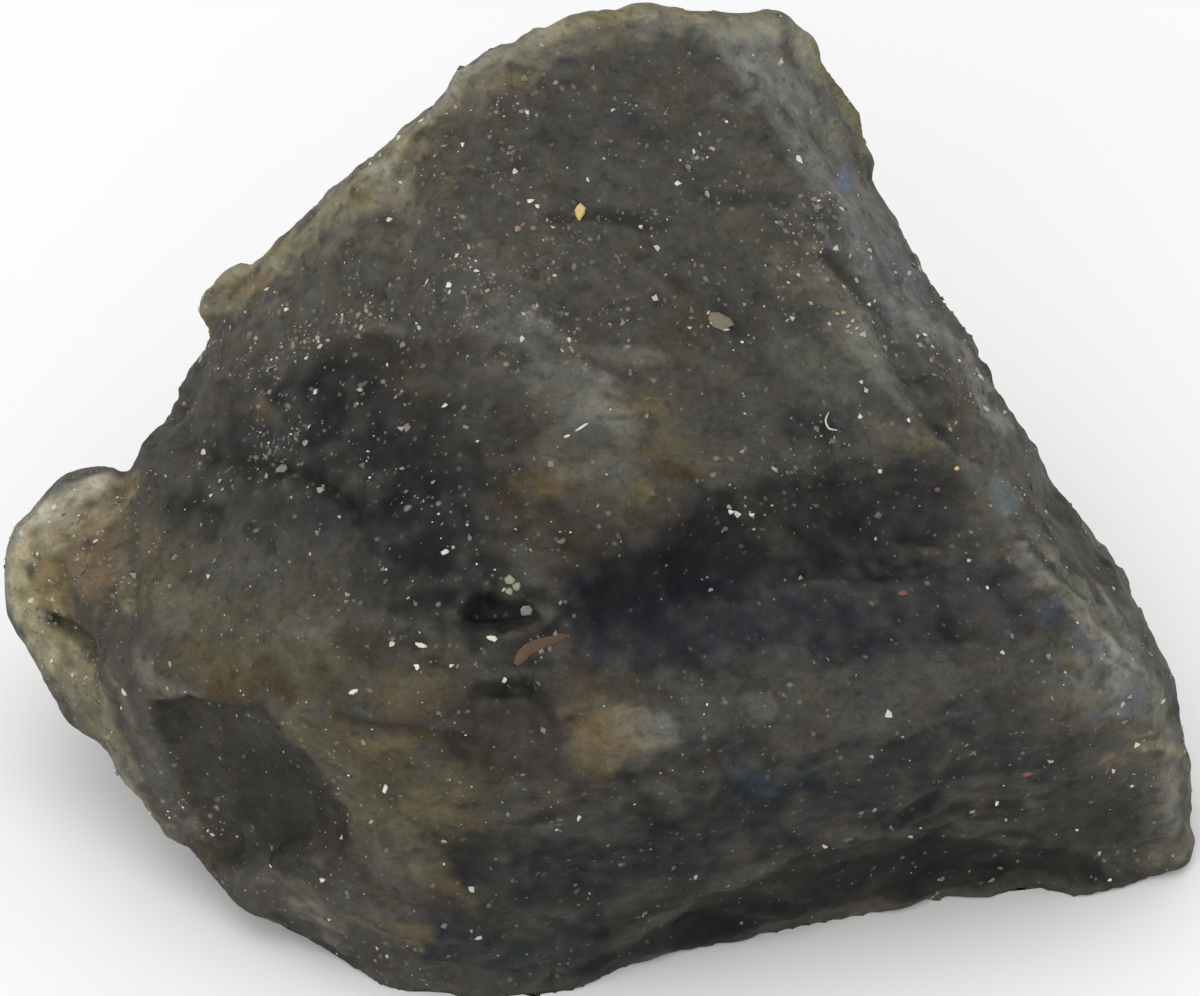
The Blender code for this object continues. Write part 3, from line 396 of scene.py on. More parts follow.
    ("jet", 0.55, 0.4, [(22.1, -10.1, 0.8), (23.1, -9.6, 0.0)]),
    ("lens", 0.80, 0.3, [(17.2, -12.7, 8.3), (17.8, -12.6, 8.4)]),
    ("char", 0.50, 0.5, [(19.0, -11.8, 6.8), (20.2, -11.6, 7.2)]),
    ("char", 0.45, 0.4, [(19.3, -12.2, 9.3), (20.5, -11.6, 9.3)]),
    # pale rims, painted glow of light through the thin edges, and the streaks of the right flank
    ("paleedge", 0.65, 0.75, [(-6.0, 7.5, 28.4), (-4.9, 8.0, 29.0), (-3.7, 8.5, 29.4), (-2.9, 8.7, 29.5)]),
    ("beige", 0.60, 0.6, [(-4.1, 7.9, 29.1), (-2.9, 8.3, 29.3), (-1.6, 8.9, 29.6), (0.0, 9.1, 29.8),
        (1.7, 9.8, 29.7)]),
    ("brightolive", 0.65, 0.7, [(1.9, 10.4, 30.0), (3.7, 10.7, 29.6), (5.4, 11.2, 29.1), (7.6, 11.9, 28.5),
        (8.4, 12.6, 27.5)]),
    ("milkpale", 0.65, 0.45, [(4.7, 10.4, 29.1), (5.3, 9.7, 28.4), (6.3, 8.7, 27.9), (7.3, 8.0, 26.8),
        (8.1, 7.3, 25.9)]),
    ("milkpale", 0.60, 0.7, [(6.7, 10.6, 28.1), (7.9, 10.3, 26.8), (9.0, 9.8, 25.6), (10.1, 9.6, 24.1),
        (11.0, 10.1, 22.8)]),
    ("paleedge", 0.60, 0.6, [(8.5, 12.2, 27.3), (9.2, 11.9, 26.1), (10.0, 11.7, 24.8), (10.8, 10.9, 23.9),
        (11.3, 10.8, 22.7)]),
    ("palegrey", 0.70, 0.25, [(4.4, 10.1, 29.0), (5.1, 9.5, 28.5), (5.8, 8.6, 28.0), (6.7, 7.8, 27.2),
        (7.6, 7.4, 26.2), (8.4, 6.5, 25.6), (9.4, 5.3, 24.5)]),
    ("palesage", 0.65, 0.65, [(8.4, 7.5, 25.7), (9.2, 6.5, 25.0), (10.0, 5.8, 24.0), (10.4, 4.7, 23.5),
        (10.9, 3.8, 22.9), (11.1, 3.2, 22.5)]),
    ("beige", 0.65, 0.55, [(8.9, 2.7, 23.6), (9.6, 1.8, 22.8), (10.3, 0.9, 22.1), (10.6, 0.1, 21.6)]),
    ("mint", 0.65, 0.75, [(10.7, -0.1, 21.4), (11.1, -0.6, 21.0), (11.5, -1.3, 20.5)]),
    ("lightbrightmoss", 0.60, 0.8, [(12.7, 2.2, 21.1), (13.7, 1.7, 20.3), (14.9, 1.6, 19.2), (15.8, 0.7, 18.0),
        (16.6, -0.2, 17.1)]),
    ("palemoss", 0.65, 0.3, [(10.5, 3.9, 23.1), (10.9, 3.4, 22.7), (11.1, 2.9, 22.3)]),
    ("lens", 0.70, 0.32, [(11.8, 1.4, 21.6), (12.5, 0.3, 20.7), (13.2, -0.8, 19.9), (14.0, -1.7, 19.3)]),
    ("pinkgrey", 0.60, 0.3, [(14.9, -3.7, 17.2), (15.9, -4.5, 15.8), (16.8, -6.0, 15.3), (17.5, -7.1, 14.9)]),
    ("palegrey", 0.60, 0.45, [(16.5, -3.8, 16.3), (17.4, -4.7, 15.7), (18.1, -6.0, 15.3)]),
    ("mint", 0.60, 0.8, [(18.6, -6.8, 14.9), (19.7, -7.6, 13.9), (21.0, -7.9, 12.6), (22.2, -8.6, 11.3)]),
    ("lightpaletan", 0.60, 0.8, [(22.9, -9.8, 9.9), (23.4, -9.8, 7.2), (23.9, -9.5, 4.2)]),
    ("pinkgrey", 0.50, 0.6, [(22.8, -10.4, 7.2), (23.0, -10.1, 4.7), (23.5, -9.9, 1.6)]),
    ("rimpale", 0.55, 0.5, [(6.0, 9.9, 28.1), (7.3, 9.1, 27.0), (8.4, 8.8, 25.7)]),
    ("milk", 0.55, 0.35, [(11.3, 1.9, 21.9), (12.0, 1.0, 21.3), (12.6, 0.5, 20.7)]),
    # the nose and the left rim
    ("snowolive", 0.70, 0.75, [(-24.2, -1.2, 11.9), (-23.2, -0.8, 12.5), (-22.3, -0.2, 13.1),
        (-21.1, -0.2, 13.6)]),
    ("brightgold", 0.65, 0.75, [(-22.6, -1.8, 12.3), (-21.4, -1.8, 12.8), (-20.4, -1.3, 13.2),
        (-19.6, -0.7, 13.6)]),
    ("lightsnowgold", 0.65, 0.85, [(-24.8, -1.9, 10.7), (-24.3, -3.2, 10.2), (-23.7, -4.2, 9.3),
        (-23.2, -5.1, 8.4)]),
    ("cream", 0.60, 0.85, [(-23.0, -5.2, 8.4), (-22.0, -6.6, 7.6), (-20.8, -7.8, 6.4), (-19.6, -9.2, 5.6)]),
    ("paletan", 0.55, 0.45, [(-22.0, -5.3, 9.3), (-21.4, -6.6, 8.3), (-20.5, -8.0, 7.6), (-19.7, -9.1, 6.8)]),
    ("paletan", 0.60, 0.35, [(-20.1, -2.9, 12.8), (-19.7, -4.7, 12.2), (-19.4, -6.3, 11.8)]),
    ("driftlight", 0.60, 0.3, [(-20.3, -7.7, 10.4), (-19.8, -9.0, 9.9), (-19.3, -9.5, 8.5),
        (-18.6, -10.3, 7.5)]),
    ("tan", 0.60, 0.4, [(-23.5, -2.2, 11.7), (-23.0, -2.9, 11.4), (-22.4, -3.6, 11.2)]),
    ("giltpale", 0.55, 0.5, [(-22.7, -3.9, 10.3), (-22.3, -4.4, 9.4), (-22.0, -5.5, 9.0)]),
    ("beige", 0.55, 0.45, [(-18.4, -9.7, 11.7), (-17.6, -10.9, 11.6), (-16.6, -11.4, 11.7)]),
    ("tansoft", 0.50, 0.3, [(-21.0, -3.6, 12.2), (-20.8, -5.3, 11.6), (-20.8, -6.1, 10.1)]),
    # the foot of the left end
    ("flankpale", 0.60, 0.5, [(-12.4, -14.9, 3.1), (-11.5, -15.1, 2.2), (-10.8, -15.2, 1.1)]),
    ("driftlight", 0.60, 0.3, [(-10.6, -15.8, 3.5), (-9.0, -16.6, 3.4), (-7.4, -17.4, 3.3)]),
    ("driftlight", 0.60, 0.65, [(-8.1, -16.5, 9.0), (-7.3, -16.8, 8.1), (-6.9, -17.0, 7.0)]),
    ("olive", 0.50, 0.4, [(-6.5, -17.0, 6.6), (-5.3, -17.5, 5.8)]),
    ("olive", 0.45, 0.6, [(-6.4, -16.5, 12.1), (-5.2, -16.9, 12.0)]),
    ("paleolive", 0.50, 0.35, [(-17.4, -10.8, 5.9), (-16.6, -11.4, 4.2), (-15.9, -12.0, 3.6)]),
    ("duskslate", 0.50, 0.35, [(-2.2, -17.0, 4.4), (-0.8, -16.5, 3.4)]),
    # the dark streaks of the front
    ("jet", 0.60, 0.35, [(-3.2, -17.1, 9.9), (-1.6, -17.4, 10.7), (0.4, -17.0, 11.2), (2.0, -16.8, 12.3),
        (2.9, -16.5, 12.9)]),
    ("jet", 0.50, 0.35, [(3.7, -16.7, 11.5), (4.9, -16.1, 11.0)]),
    ("jet", 0.65, 0.3, [(10.3, -14.3, 6.3), (12.3, -13.1, 5.4), (14.5, -11.9, 4.6), (16.6, -11.7, 4.4),
        (17.9, -11.6, 4.1)]),
    ("jet", 0.60, 0.25, [(14.8, -13.2, 8.1), (16.5, -12.6, 7.6), (18.2, -12.0, 6.7)]),
    ("jet", 0.60, 0.7, [(0.5, -16.4, 3.2), (1.7, -16.1, 4.2), (3.3, -15.6, 4.4), (4.2, -15.5, 4.7)]),
    ("jet", 0.60, 0.4, [(-5.0, -14.2, 17.0), (-3.6, -14.1, 16.6), (-2.4, -13.6, 16.5), (-1.6, -12.8, 16.9)]),
    ("jet", 0.60, 0.45, [(-7.7, -13.9, 16.8), (-7.3, -13.9, 16.8)]),
    ("jet", 0.50, 0.3, [(-1.4, -12.2, 18.0), (-1.3, -12.6, 17.0)]),
    ("jet", 0.45, 0.28, [(1.6, -14.9, 14.2), (2.5, -15.5, 13.9), (2.9, -15.9, 13.5)]),
    ("midtan", 0.45, 0.35, [(-0.8, -14.4, 14.6), (-1.6, -15.2, 14.2)]),
    ("flankpale", 0.50, 0.45, [(6.1, -14.6, 14.2), (6.8, -14.5, 14.0), (6.5, -14.8, 13.6)]),
    ("duskstone", 0.45, 0.3, [(18.9, -11.0, 12.7), (19.6, -10.9, 12.4)]),
    ("terrace", 0.45, 0.3, [(0.0, -16.6, 6.2), (2.0, -16.3, 6.4), (4.1, -15.9, 7.2)]),
    ("duskslate", 0.45, 0.3, [(6.6, -15.3, 6.7), (8.2, -14.6, 6.9), (10.1, -14.2, 7.3)]),
    ("jet", 0.45, 0.35, [(6.5, -15.8, 12.0), (8.1, -15.2, 11.3), (9.7, -14.7, 11.7)]),
    # the upper face
    ("lightpalemoss", 0.60, 0.4, [(-4.0, -1.5, 24.4), (-3.2, -1.9, 24.2), (-2.2, -2.6, 23.8),
        (-1.4, -3.0, 23.3)]),
    ("lightpalemoss", 0.60, 0.4, [(-0.8, -3.7, 22.7), (0.0, -3.8, 22.3), (0.6, -4.2, 22.0)]),
    ("jet", 0.55, 0.55, [(-4.0, -3.5, 23.3), (-3.4, -3.8, 23.1)]),
    ("jet", 0.45, 0.5, [(-6.8, -3.2, 22.1), (-6.0, -3.8, 22.2)]),
    ("pinkgrey", 0.55, 0.35, [(-10.5, 0.1, 21.8), (-9.0, -0.7, 22.5), (-8.1, -1.3, 22.8)]),
    ("lightpalegold", 0.55, 0.35, [(-15.8, 6.7, 19.2), (-14.2, 6.0, 20.5), (-12.9, 5.7, 21.8)]),
    ("lightbrightgold", 0.60, 0.4, [(-16.3, 6.0, 18.6), (-15.7, 4.8, 18.8)]),
    ("brightolive", 0.60, 0.45, [(-9.7, 6.6, 24.8), (-8.6, 5.9, 25.6)]),
    ("rimpale", 0.60, 0.35, [(-7.5, 6.8, 26.9), (-7.0, 6.7, 27.3)]),
    ("olive", 0.60, 0.35, [(-12.6, 5.1, 22.0), (-11.6, 4.8, 22.8), (-11.1, 5.1, 23.5)]),
    ("cream", 0.50, 0.35, [(-13.8, 5.4, 20.9), (-12.9, 4.2, 21.5)]),
    ("beige", 0.45, 0.45, [(-1.6, -8.2, 20.5), (-0.3, -7.6, 20.5)]),
    ("jet", 0.45, 0.4, [(-4.0, -10.9, 19.8), (-1.6, -10.6, 19.2)]),
    ("jet", 0.40, 0.4, [(2.5, 0.6, 24.3), (3.7, 0.1, 23.7), (2.4, -0.5, 23.6)]),
    ("dimdun", 0.40, 0.35, [(6.2, 0.9, 23.1), (7.8, 1.2, 23.1)]),
    ("coal", 0.40, 0.35, [(3.7, 4.0, 25.8), (5.8, 4.1, 25.2), (7.9, 5.0, 24.6)]),
    ("lightpalemoss", 0.45, 0.35, [(5.0, 7.5, 27.8), (6.2, 7.6, 27.3)]),
    ("jet", 0.45, 0.4, [(4.9, -0.4, 23.0), (5.6, -1.1, 22.5)]),
    ("jet", 0.50, 0.3, [(9.1, -3.7, 19.9), (9.4, -4.6, 19.1), (8.8, -5.3, 18.8)]),
    ("pinkgrey", 0.45, 0.3, [(9.9, -3.6, 19.8), (10.7, -3.9, 19.0)]),
    ("pinkgrey", 0.45, 0.3, [(11.3, -4.2, 18.5), (11.5, -4.3, 18.0)]),
    ("duskstone", 0.45, 0.3, [(-4.9, -2.2, 23.9), (-4.5, -2.0, 24.2)]),
    ("duskslate", 0.40, 0.35, [(-11.1, -2.3, 20.3), (-10.2, -3.3, 20.1)]),
    ("duskslate", 0.40, 0.4, [(-16.1, -2.4, 16.2), (-15.2, -3.9, 16.4)]),
    ("tansoft", 0.50, 0.3, [(-13.9, -1.0, 18.7), (-13.2, -2.3, 18.7)]),
    ("lens", 0.50, 0.3, [(-14.4, -2.4, 17.8), (-12.9, -3.9, 18.2), (-12.7, -4.6, 17.9)]),
    ("jet", 0.45, 0.3, [(-10.4, -4.6, 19.5), (-9.6, -4.0, 20.1), (-9.0, -3.4, 20.7)]),
    ("jet", 0.40, 0.35, [(-14.3, -6.6, 16.5), (-13.4, -7.8, 16.6)]),
    # the pale edge all along the outline: painted glow of light through the thin edges
    ("cream", 0.70, 0.8, [(-16.7, 5.8, 18.2), (-15.5, 7.0, 19.6), (-14.8, 6.9, 19.9)]),
    ("paletan", 0.70, 0.8, [(-14.8, 6.9, 19.9), (-12.6, 7.0, 21.8), (-11.1, 7.3, 23.4)]),
    ("cream", 0.70, 0.8, [(-11.1, 7.3, 23.4), (-9.7, 7.6, 24.6), (-8.6, 7.5, 26.0)]),
    ("brim", 0.70, 0.8, [(-8.6, 7.5, 26.0), (-7.4, 7.7, 27.1), (-5.7, 8.5, 28.5)]),
    ("paleedge", 0.70, 0.8, [(-5.7, 8.5, 28.5), (-3.0, 9.5, 29.5), (-1.6, 10.0, 29.8)]),
    ("cream", 0.70, 0.8, [(-1.6, 10.0, 29.8), (1.9, 11.2, 29.8)]),
    ("beige", 0.70, 0.8, [(1.9, 11.2, 29.8), (2.9, 11.4, 29.5), (6.0, 12.0, 28.7)]),
    ("cream", 0.70, 0.8, [(6.0, 12.0, 28.7), (8.8, 12.9, 27.1), (9.3, 12.8, 26.5)]),
    ("noseolive", 0.70, 0.8, [(9.3, 12.8, 26.5), (11.3, 11.4, 23.0), (11.5, 11.0, 22.2)]),
    ("palegrey", 0.70, 0.8, [(11.5, 11.0, 22.2), (12.5, 8.2, 20.3), (13.4, 7.2, 19.5)]),
    ("palegrey", 0.70, 0.8, [(13.4, 7.2, 19.5), (14.8, 5.7, 18.1), (16.0, 4.2, 17.0)]),
    ("flankpale", 0.70, 0.8, [(18.6, 1.6, 13.6), (19.4, 0.9, 12.9), (22.2, -1.9, 10.3)]),
    ("flankpale", 0.70, 0.8, [(22.2, -1.9, 10.3), (22.5, -2.9, 10.1), (23.6, -5.4, 8.2)]),
    ("beige", 0.70, 0.8, [(23.6, -5.4, 8.2), (24.6, -6.5, 4.4), (25.0, -8.9, 1.4)]),
    ("palegrey", 0.75, 0.8, [(-20.9, 1.3, 13.3), (-22.9, 0.5, 12.7), (-24.6, -0.9, 11.2)]),
    ("lightpaletan", 0.75, 0.8, [(-24.6, -0.9, 11.2), (-24.9, -2.7, 8.7)]),
    ("pinkgrey", 0.75, 0.8, [(-23.8, -4.3, 7.6), (-22.2, -6.6, 6.0), (-20.1, -8.4, 4.7)]),
    ("mint", 0.75, 0.8, [(-20.1, -8.4, 4.7), (-18.9, -9.5, 3.7), (-17.8, -10.8, 3.2)]),
    ("mossgrey", 0.70, 0.8, [(-17.8, -10.8, 3.2), (-16.3, -12.2, 2.6), (-14.6, -13.6, 1.6)]),
    # the pale lump of the left edge
    ("cream", 0.90, 1.3, [(-16.0, 7.2, 18.8), (-15.2, 7.5, 19.8), (-14.4, 7.3, 20.5)]),
    ("paletan", 0.70, 0.7, [(-16.1, 6.0, 18.6), (-15.6, 5.6, 19.1), (-15.0, 4.6, 19.3)]),
    # small marks of the ridge and of the right flank
    ("tansoft", 0.60, 0.3, [(-5.4, 7.5, 28.8), (-4.1, 7.5, 29.0), (-2.8, 7.7, 28.9)]),
    ("palemoss", 0.65, 0.2, [(7.1, 8.7, 27.2), (7.9, 8.5, 26.3), (9.0, 8.0, 25.1), (10.0, 7.3, 24.1),
        (10.6, 7.2, 23.2)]),
    ("mauvelight", 0.60, 0.22, [(4.4, 10.1, 29.0), (5.2, 9.2, 28.4), (5.8, 8.4, 27.9)]),
    ("palegrey", 0.55, 0.22, [(7.9, 6.3, 25.7), (8.8, 5.9, 25.1), (9.8, 5.6, 24.3)]),
    ("terrace", 0.70, 0.25, [(8.9, 2.5, 23.5), (9.7, 2.9, 23.4), (10.4, 2.9, 23.0)]),
    ("flankpale", 0.55, 0.2, [(9.2, 0.9, 22.5), (10.0, -0.1, 21.8), (10.7, -0.5, 21.3), (11.5, -1.2, 20.5),
        (12.3, -2.3, 19.8), (13.2, -2.9, 19.0), (14.0, -3.2, 18.4)]),
    ("ash", 0.55, 0.25, [(12.5, -1.4, 20.1), (13.4, -2.1, 19.5)]),
    ("milkgreen", 0.55, 0.2, [(14.8, -3.4, 17.5), (15.5, -3.8, 16.7), (16.1, -4.3, 16.0)]),
    ("pinkgrey", 0.65, 0.28, [(18.8, -8.0, 14.5), (19.5, -8.4, 14.0)]),
    ("rimpale", 0.65, 0.35, [(20.1, -8.8, 13.3), (21.0, -9.1, 12.6), (21.8, -9.4, 11.7)]),
    ("lightbrightgold", 0.60, 0.3, [(22.3, -10.5, 8.1), (23.2, -10.1, 7.7), (24.1, -9.0, 6.4)]),
    # small marks of the nose and of the front
    ("nosetan", 0.60, 0.3, [(-24.2, -3.4, 10.1), (-23.6, -3.4, 10.6)]),
    ("mossgrey", 0.55, 0.3, [(-21.1, -3.7, 12.2), (-20.6, -3.6, 12.5)]),
    ("beige", 0.55, 0.28, [(-18.5, -10.2, 10.3), (-17.6, -10.7, 10.8), (-16.3, -11.8, 12.0)]),
    ("jet", 0.55, 0.28, [(-5.0, -14.5, 16.6), (-4.3, -14.7, 16.2), (-2.1, -13.9, 15.7)]),
    ("dimdun", 0.40, 0.3, [(2.0, -14.0, 14.6), (4.0, -14.6, 14.8), (6.1, -14.1, 14.4)]),
    ("tansoft", 0.55, 0.25, [(-1.5, -15.3, 14.2), (0.0, -14.8, 14.4)]),
    ("jet", 0.45, 0.4, [(2.9, -16.8, 12.0), (4.1, -16.6, 11.1)]),
    ("jet", 0.55, 0.28, [(0.1, -16.5, 3.1), (2.1, -15.9, 3.6), (4.1, -15.2, 3.8)]),
    ("milkpale", 0.55, 0.3, [(-11.8, -15.2, 3.5), (-11.1, -15.3, 2.1)]),
    ("palemoss", 0.45, 0.3, [(-13.0, -11.4, 15.2), (-11.7, -12.3, 15.6)]),
    ("flankpale", 0.50, 0.35, [(-1.5, -3.3, 23.3), (-0.4, -2.9, 22.9), (0.8, -2.9, 22.7), (2.4, -2.8, 22.5)]),
    ("pinkgrey", 0.50, 0.35, [(-10.2, -0.3, 21.8), (-9.2, -0.5, 22.5), (-8.2, -1.3, 22.8)]),
    ("warmduskslate", 0.50, 0.3, [(1.3, 10.0, 29.9), (2.0, 9.9, 29.8), (2.6, 9.8, 29.7)]),
    # the groove beside the right ridge and its frosty lips
    ("night", 0.85, 0.38, [(9.5, 2.8, 23.4), (10.7, 2.3, 22.4), (11.8, 1.2, 21.5), (12.3, 0.0, 20.7),
        (12.9, -1.6, 19.9), (13.8, -2.6, 19.0), (14.7, -3.2, 18.0)]),
    ("coal", 0.60, 0.55, [(12.6, -0.1, 20.6), (13.5, -1.0, 19.8), (14.2, -2.1, 19.1)]),
    ("coal", 0.70, 0.22, [(17.7, -6.5, 15.4), (18.8, -7.3, 14.7), (19.9, -7.7, 13.8)]),
    ("softslate", 0.75, 0.16, [(9.1, 3.9, 24.1), (9.9, 2.7, 23.1), (10.7, 2.1, 22.3)]),
    ("softslate", 0.75, 0.17, [(11.3, 2.1, 22.1), (12.4, 1.4, 21.2), (13.9, 0.2, 19.9)]),
    ("palegrey", 0.75, 0.16, [(10.2, 0.5, 21.9), (11.2, -0.3, 21.0), (12.1, -1.2, 20.4), (13.0, -2.4, 19.5)]),
    ("palegrey", 0.70, 0.16, [(13.8, -3.1, 18.5), (14.8, -3.3, 17.6), (15.9, -3.5, 16.8)]),
    ("flankpale", 0.80, 0.18, [(16.9, -6.7, 15.2), (18.0, -7.9, 14.7), (19.2, -8.7, 13.8)]),
]

# Each patch, some of them painted shadow and shade: colour, strength, softness of its edge in mm, and its outline
# on the stone in mm.
PATCHES = [
    # the scoop at the left end
    ("mossdark", 0.85, 0.30, [(-18.8, -10.2, 10.3), (-17.1, -11.7, 11.8), (-15.0, -13.0, 12.5),
        (-13.7, -13.7, 13.2), (-13.3, -14.3, 12.6), (-12.7, -14.8, 12.0), (-12.0, -15.2, 11.7),
        (-11.4, -15.4, 11.1), (-10.7, -15.8, 10.2), (-10.2, -16.5, 9.7), (-10.1, -16.5, 7.9),
        (-10.8, -16.2, 6.8), (-12.2, -15.6, 6.6), (-13.9, -13.7, 4.5), (-15.4, -12.9, 3.2), (-16.3, -11.9, 3.5),
        (-17.1, -11.1, 5.3), (-17.8, -10.7, 7.3), (-18.5, -10.4, 8.9)]),
    ("coal", 0.75, 0.60, [(-14.5, -11.8, 9.5), (-12.5, -15.0, 11.3), (-12.0, -15.4, 9.5), (-12.2, -15.5, 7.3),
        (-13.9, -13.0, 4.6), (-15.0, -11.9, 5.2), (-15.2, -11.7, 7.2)]),
    ("dimdun", 0.55, 0.25, [(-12.4, -15.0, 11.6), (-11.6, -15.3, 11.4), (-10.7, -15.7, 10.5),
        (-10.9, -15.8, 10.0), (-11.8, -15.3, 10.3)]),
    # the step's lip and the pit under it, dark stone with painted shadow under the lip and painted shade in the
    # pit, and the blue beside it
    ("dusksage", 0.80, 0.30, [(-1.6, -13.0, 17.9), (-0.5, -11.8, 17.1), (-0.2, -11.4, 18.1), (0.6, -10.9, 18.5),
        (1.6, -10.4, 18.6), (2.5, -10.1, 18.5), (3.4, -8.4, 17.6), (4.0, -8.2, 19.0), (4.3, -7.5, 19.4),
        (5.1, -7.1, 19.4), (5.5, -7.2, 18.9), (5.8, -7.6, 17.8), (6.6, -8.0, 16.7), (7.8, -8.3, 16.3),
        (6.5, -8.5, 16.1), (4.9, -8.6, 15.9), (3.3, -9.7, 16.2), (1.6, -11.0, 16.6), (0.0, -11.7, 16.4),
        (-1.2, -12.7, 17.1)]),
    ("terrace", 0.60, 0.35, [(8.2, -5.8, 18.4), (9.6, -5.1, 18.7), (10.7, -4.8, 18.7), (11.5, -4.7, 18.0),
        (12.5, -4.3, 18.2), (14.0, -3.8, 18.2), (14.9, -3.8, 17.2), (15.2, -3.9, 16.3), (14.1, -3.9, 15.8),
        (12.4, -4.5, 16.0), (10.3, -5.1, 16.2), (8.2, -6.3, 16.8), (6.9, -7.9, 17.0), (6.3, -7.6, 17.8),
        (7.1, -7.1, 18.5)]),
    ("jet", 0.75, 0.30, [(-3.2, -12.9, 18.6), (-2.2, -12.7, 18.6), (-1.3, -12.8, 18.0), (-1.6, -13.0, 17.5),
        (-2.4, -13.2, 18.0), (-3.2, -13.0, 18.3)]),
    ("jet", 0.95, 0.15, [(-5.7, -13.3, 17.8), (-5.4, -12.9, 18.0), (-4.7, -12.1, 17.6), (-3.8, -12.9, 18.4),
        (-2.9, -13.0, 18.3), (-2.2, -13.2, 18.0), (-1.9, -13.3, 17.7), (-2.2, -13.4, 17.4), (-3.0, -13.6, 17.3),
        (-4.0, -14.0, 17.6), (-5.0, -13.9, 17.6), (-5.6, -13.6, 17.6)]),
    # painted shade on the undercut along the foot
    ("jet", 0.70, 0.25, [(-1.6, -16.9, 0.9), (0.0, -16.6, 1.8), (1.7, -15.8, 2.2), (3.3, -15.0, 2.6),
        (4.1, -15.2, 3.8), (5.6, -15.4, 4.5), (6.8, -14.9, 4.9), (8.2, -14.8, 5.7), (9.5, -14.5, 5.9),
        (11.1, -13.9, 5.8), (13.7, -12.1, 4.6), (15.6, -12.1, 4.3), (17.1, -11.5, 3.2), (19.2, -11.3, 3.1),
        (20.9, -10.7, 2.0), (21.2, -10.4, 0.9), (19.7, -10.8, 0.6), (17.6, -10.9, 1.3), (15.9, -10.9, 0.5),
        (12.6, -11.9, 0.8), (8.3, -13.6, 1.2), (4.2, -13.9, 0.3), (0.4, -16.2, 0.9)]),
    # the milky tan spot under the step
    ("tansoft", 0.80, 0.45, [(-1.1, -15.8, 13.7), (-0.4, -15.2, 14.2), (0.8, -14.9, 14.5), (2.0, -15.1, 14.4),
        (2.4, -15.4, 14.1), (2.0, -16.1, 13.2), (1.0, -16.5, 12.8), (0.5, -17.2, 12.7), (-0.3, -17.3, 12.6),
        (-1.0, -17.0, 13.1)]),
    ("beige", 0.75, 0.35, [(0.6, -15.2, 14.2), (1.6, -15.0, 14.4), (2.4, -15.2, 14.2), (2.9, -15.6, 14.0),
        (3.1, -16.1, 13.5), (2.2, -16.3, 13.0), (1.2, -16.1, 13.2), (0.6, -16.1, 13.9)]),
    ("milk", 0.65, 0.25, [(2.0, -15.4, 14.1), (2.6, -15.3, 14.2), (3.1, -15.7, 13.9), (3.0, -16.1, 13.4),
        (2.3, -16.3, 13.1), (1.8, -15.9, 13.4)]),
    # the blue and violet plays of colour at the right corner
    ("mauvelight", 0.65, 0.20, [(19.0, -9.3, 13.8), (19.7, -9.3, 13.5), (20.4, -9.6, 12.8), (20.7, -10.0, 12.5),
        (20.1, -10.1, 12.7), (19.3, -10.1, 13.1), (18.9, -9.7, 13.5)]),
    ("lightbrightmoss", 0.60, 0.25, [(20.4, -9.8, 12.7), (21.3, -9.6, 12.1), (21.8, -10.1, 11.6),
        (21.6, -10.9, 11.2), (21.0, -11.2, 11.4), (20.6, -10.9, 11.9), (20.9, -10.3, 12.2)]),
    ("softslate", 0.70, 0.20, [(21.0, -11.3, 11.1), (21.7, -10.8, 11.2), (22.2, -10.3, 11.3),
        (22.6, -10.3, 10.9), (22.4, -10.7, 10.5), (21.7, -10.9, 10.1), (20.9, -11.4, 10.5)]),
    ("midslate", 0.65, 0.25, [(18.0, -8.8, 14.2), (18.5, -8.5, 14.3), (19.0, -8.9, 14.0), (18.8, -9.7, 13.6),
        (18.2, -9.8, 13.8)]),
    ("paleslate", 0.95, 0.20, [(9.8, 7.4, 24.5), (10.3, 8.8, 23.7), (10.6, 8.5, 23.1), (10.8, 7.2, 23.3),
        (10.1, 6.2, 24.1), (9.8, 6.4, 24.5)]),
    ("bluefaint", 0.60, 0.25, [(16.3, -3.8, 16.7), (17.0, -3.2, 16.5), (17.4, -3.6, 16.1), (17.2, -4.6, 16.1),
        (16.5, -4.4, 16.0), (16.3, -4.1, 16.3)]),
    # the black crack under the nose
    ("olive", 0.90, 0.15, [(-22.8, -4.0, 9.7), (-22.2, -4.4, 9.8), (-21.5, -5.1, 9.8), (-21.0, -5.8, 9.8),
        (-20.7, -6.7, 9.7), (-21.3, -6.2, 8.8), (-21.5, -5.7, 9.2), (-22.1, -5.1, 9.3), (-22.6, -4.5, 9.3)]),
]

# Hairline cracks: depth and half width in mm, darkness, and the line each follows.
CRACKS = [
    (0.26, 0.13, 0.60, [(-2.11, 1.62, 26.27), (0.02, 2.21, 25.97), (2.07, 2.17, 25.43)]),
    (0.34, 0.18, 0.60, [(-16.23, -1.88, 16.42), (-13.97, -3.62, 17.59), (-11.89, -5.19, 18.25),
        (-10.08, -8.02, 18.82), (-9.48, -9.43, 18.84)]),
    (0.24, 0.13, 0.55, [(-10.45, -15.15, 13.87), (-8.01, -15.96, 13.95), (-5.19, -16.51, 13.79)]),
    (0.28, 0.12, 0.75, [(8.33, -8.83, 16.09), (9.83, -8.10, 15.36), (11.37, -7.65, 14.92)]),
    (0.28, 0.13, 0.70, [(11.76, -5.40, 15.05), (14.06, -5.70, 14.98)]),
    (0.22, 0.13, 0.55, [(11.49, -14.55, 11.50), (13.39, -14.19, 12.26), (15.56, -13.31, 12.39)]),
    (0.42, 0.20, 0.95, [(-22.83, -3.99, 9.41), (-22.00, -5.09, 9.70), (-21.28, -5.97, 9.81),
        (-21.20, -6.30, 9.26)]),
    (0.30, 0.16, 0.70, [(-5.18, -15.73, 15.78), (-3.19, -15.22, 15.33)]),
]

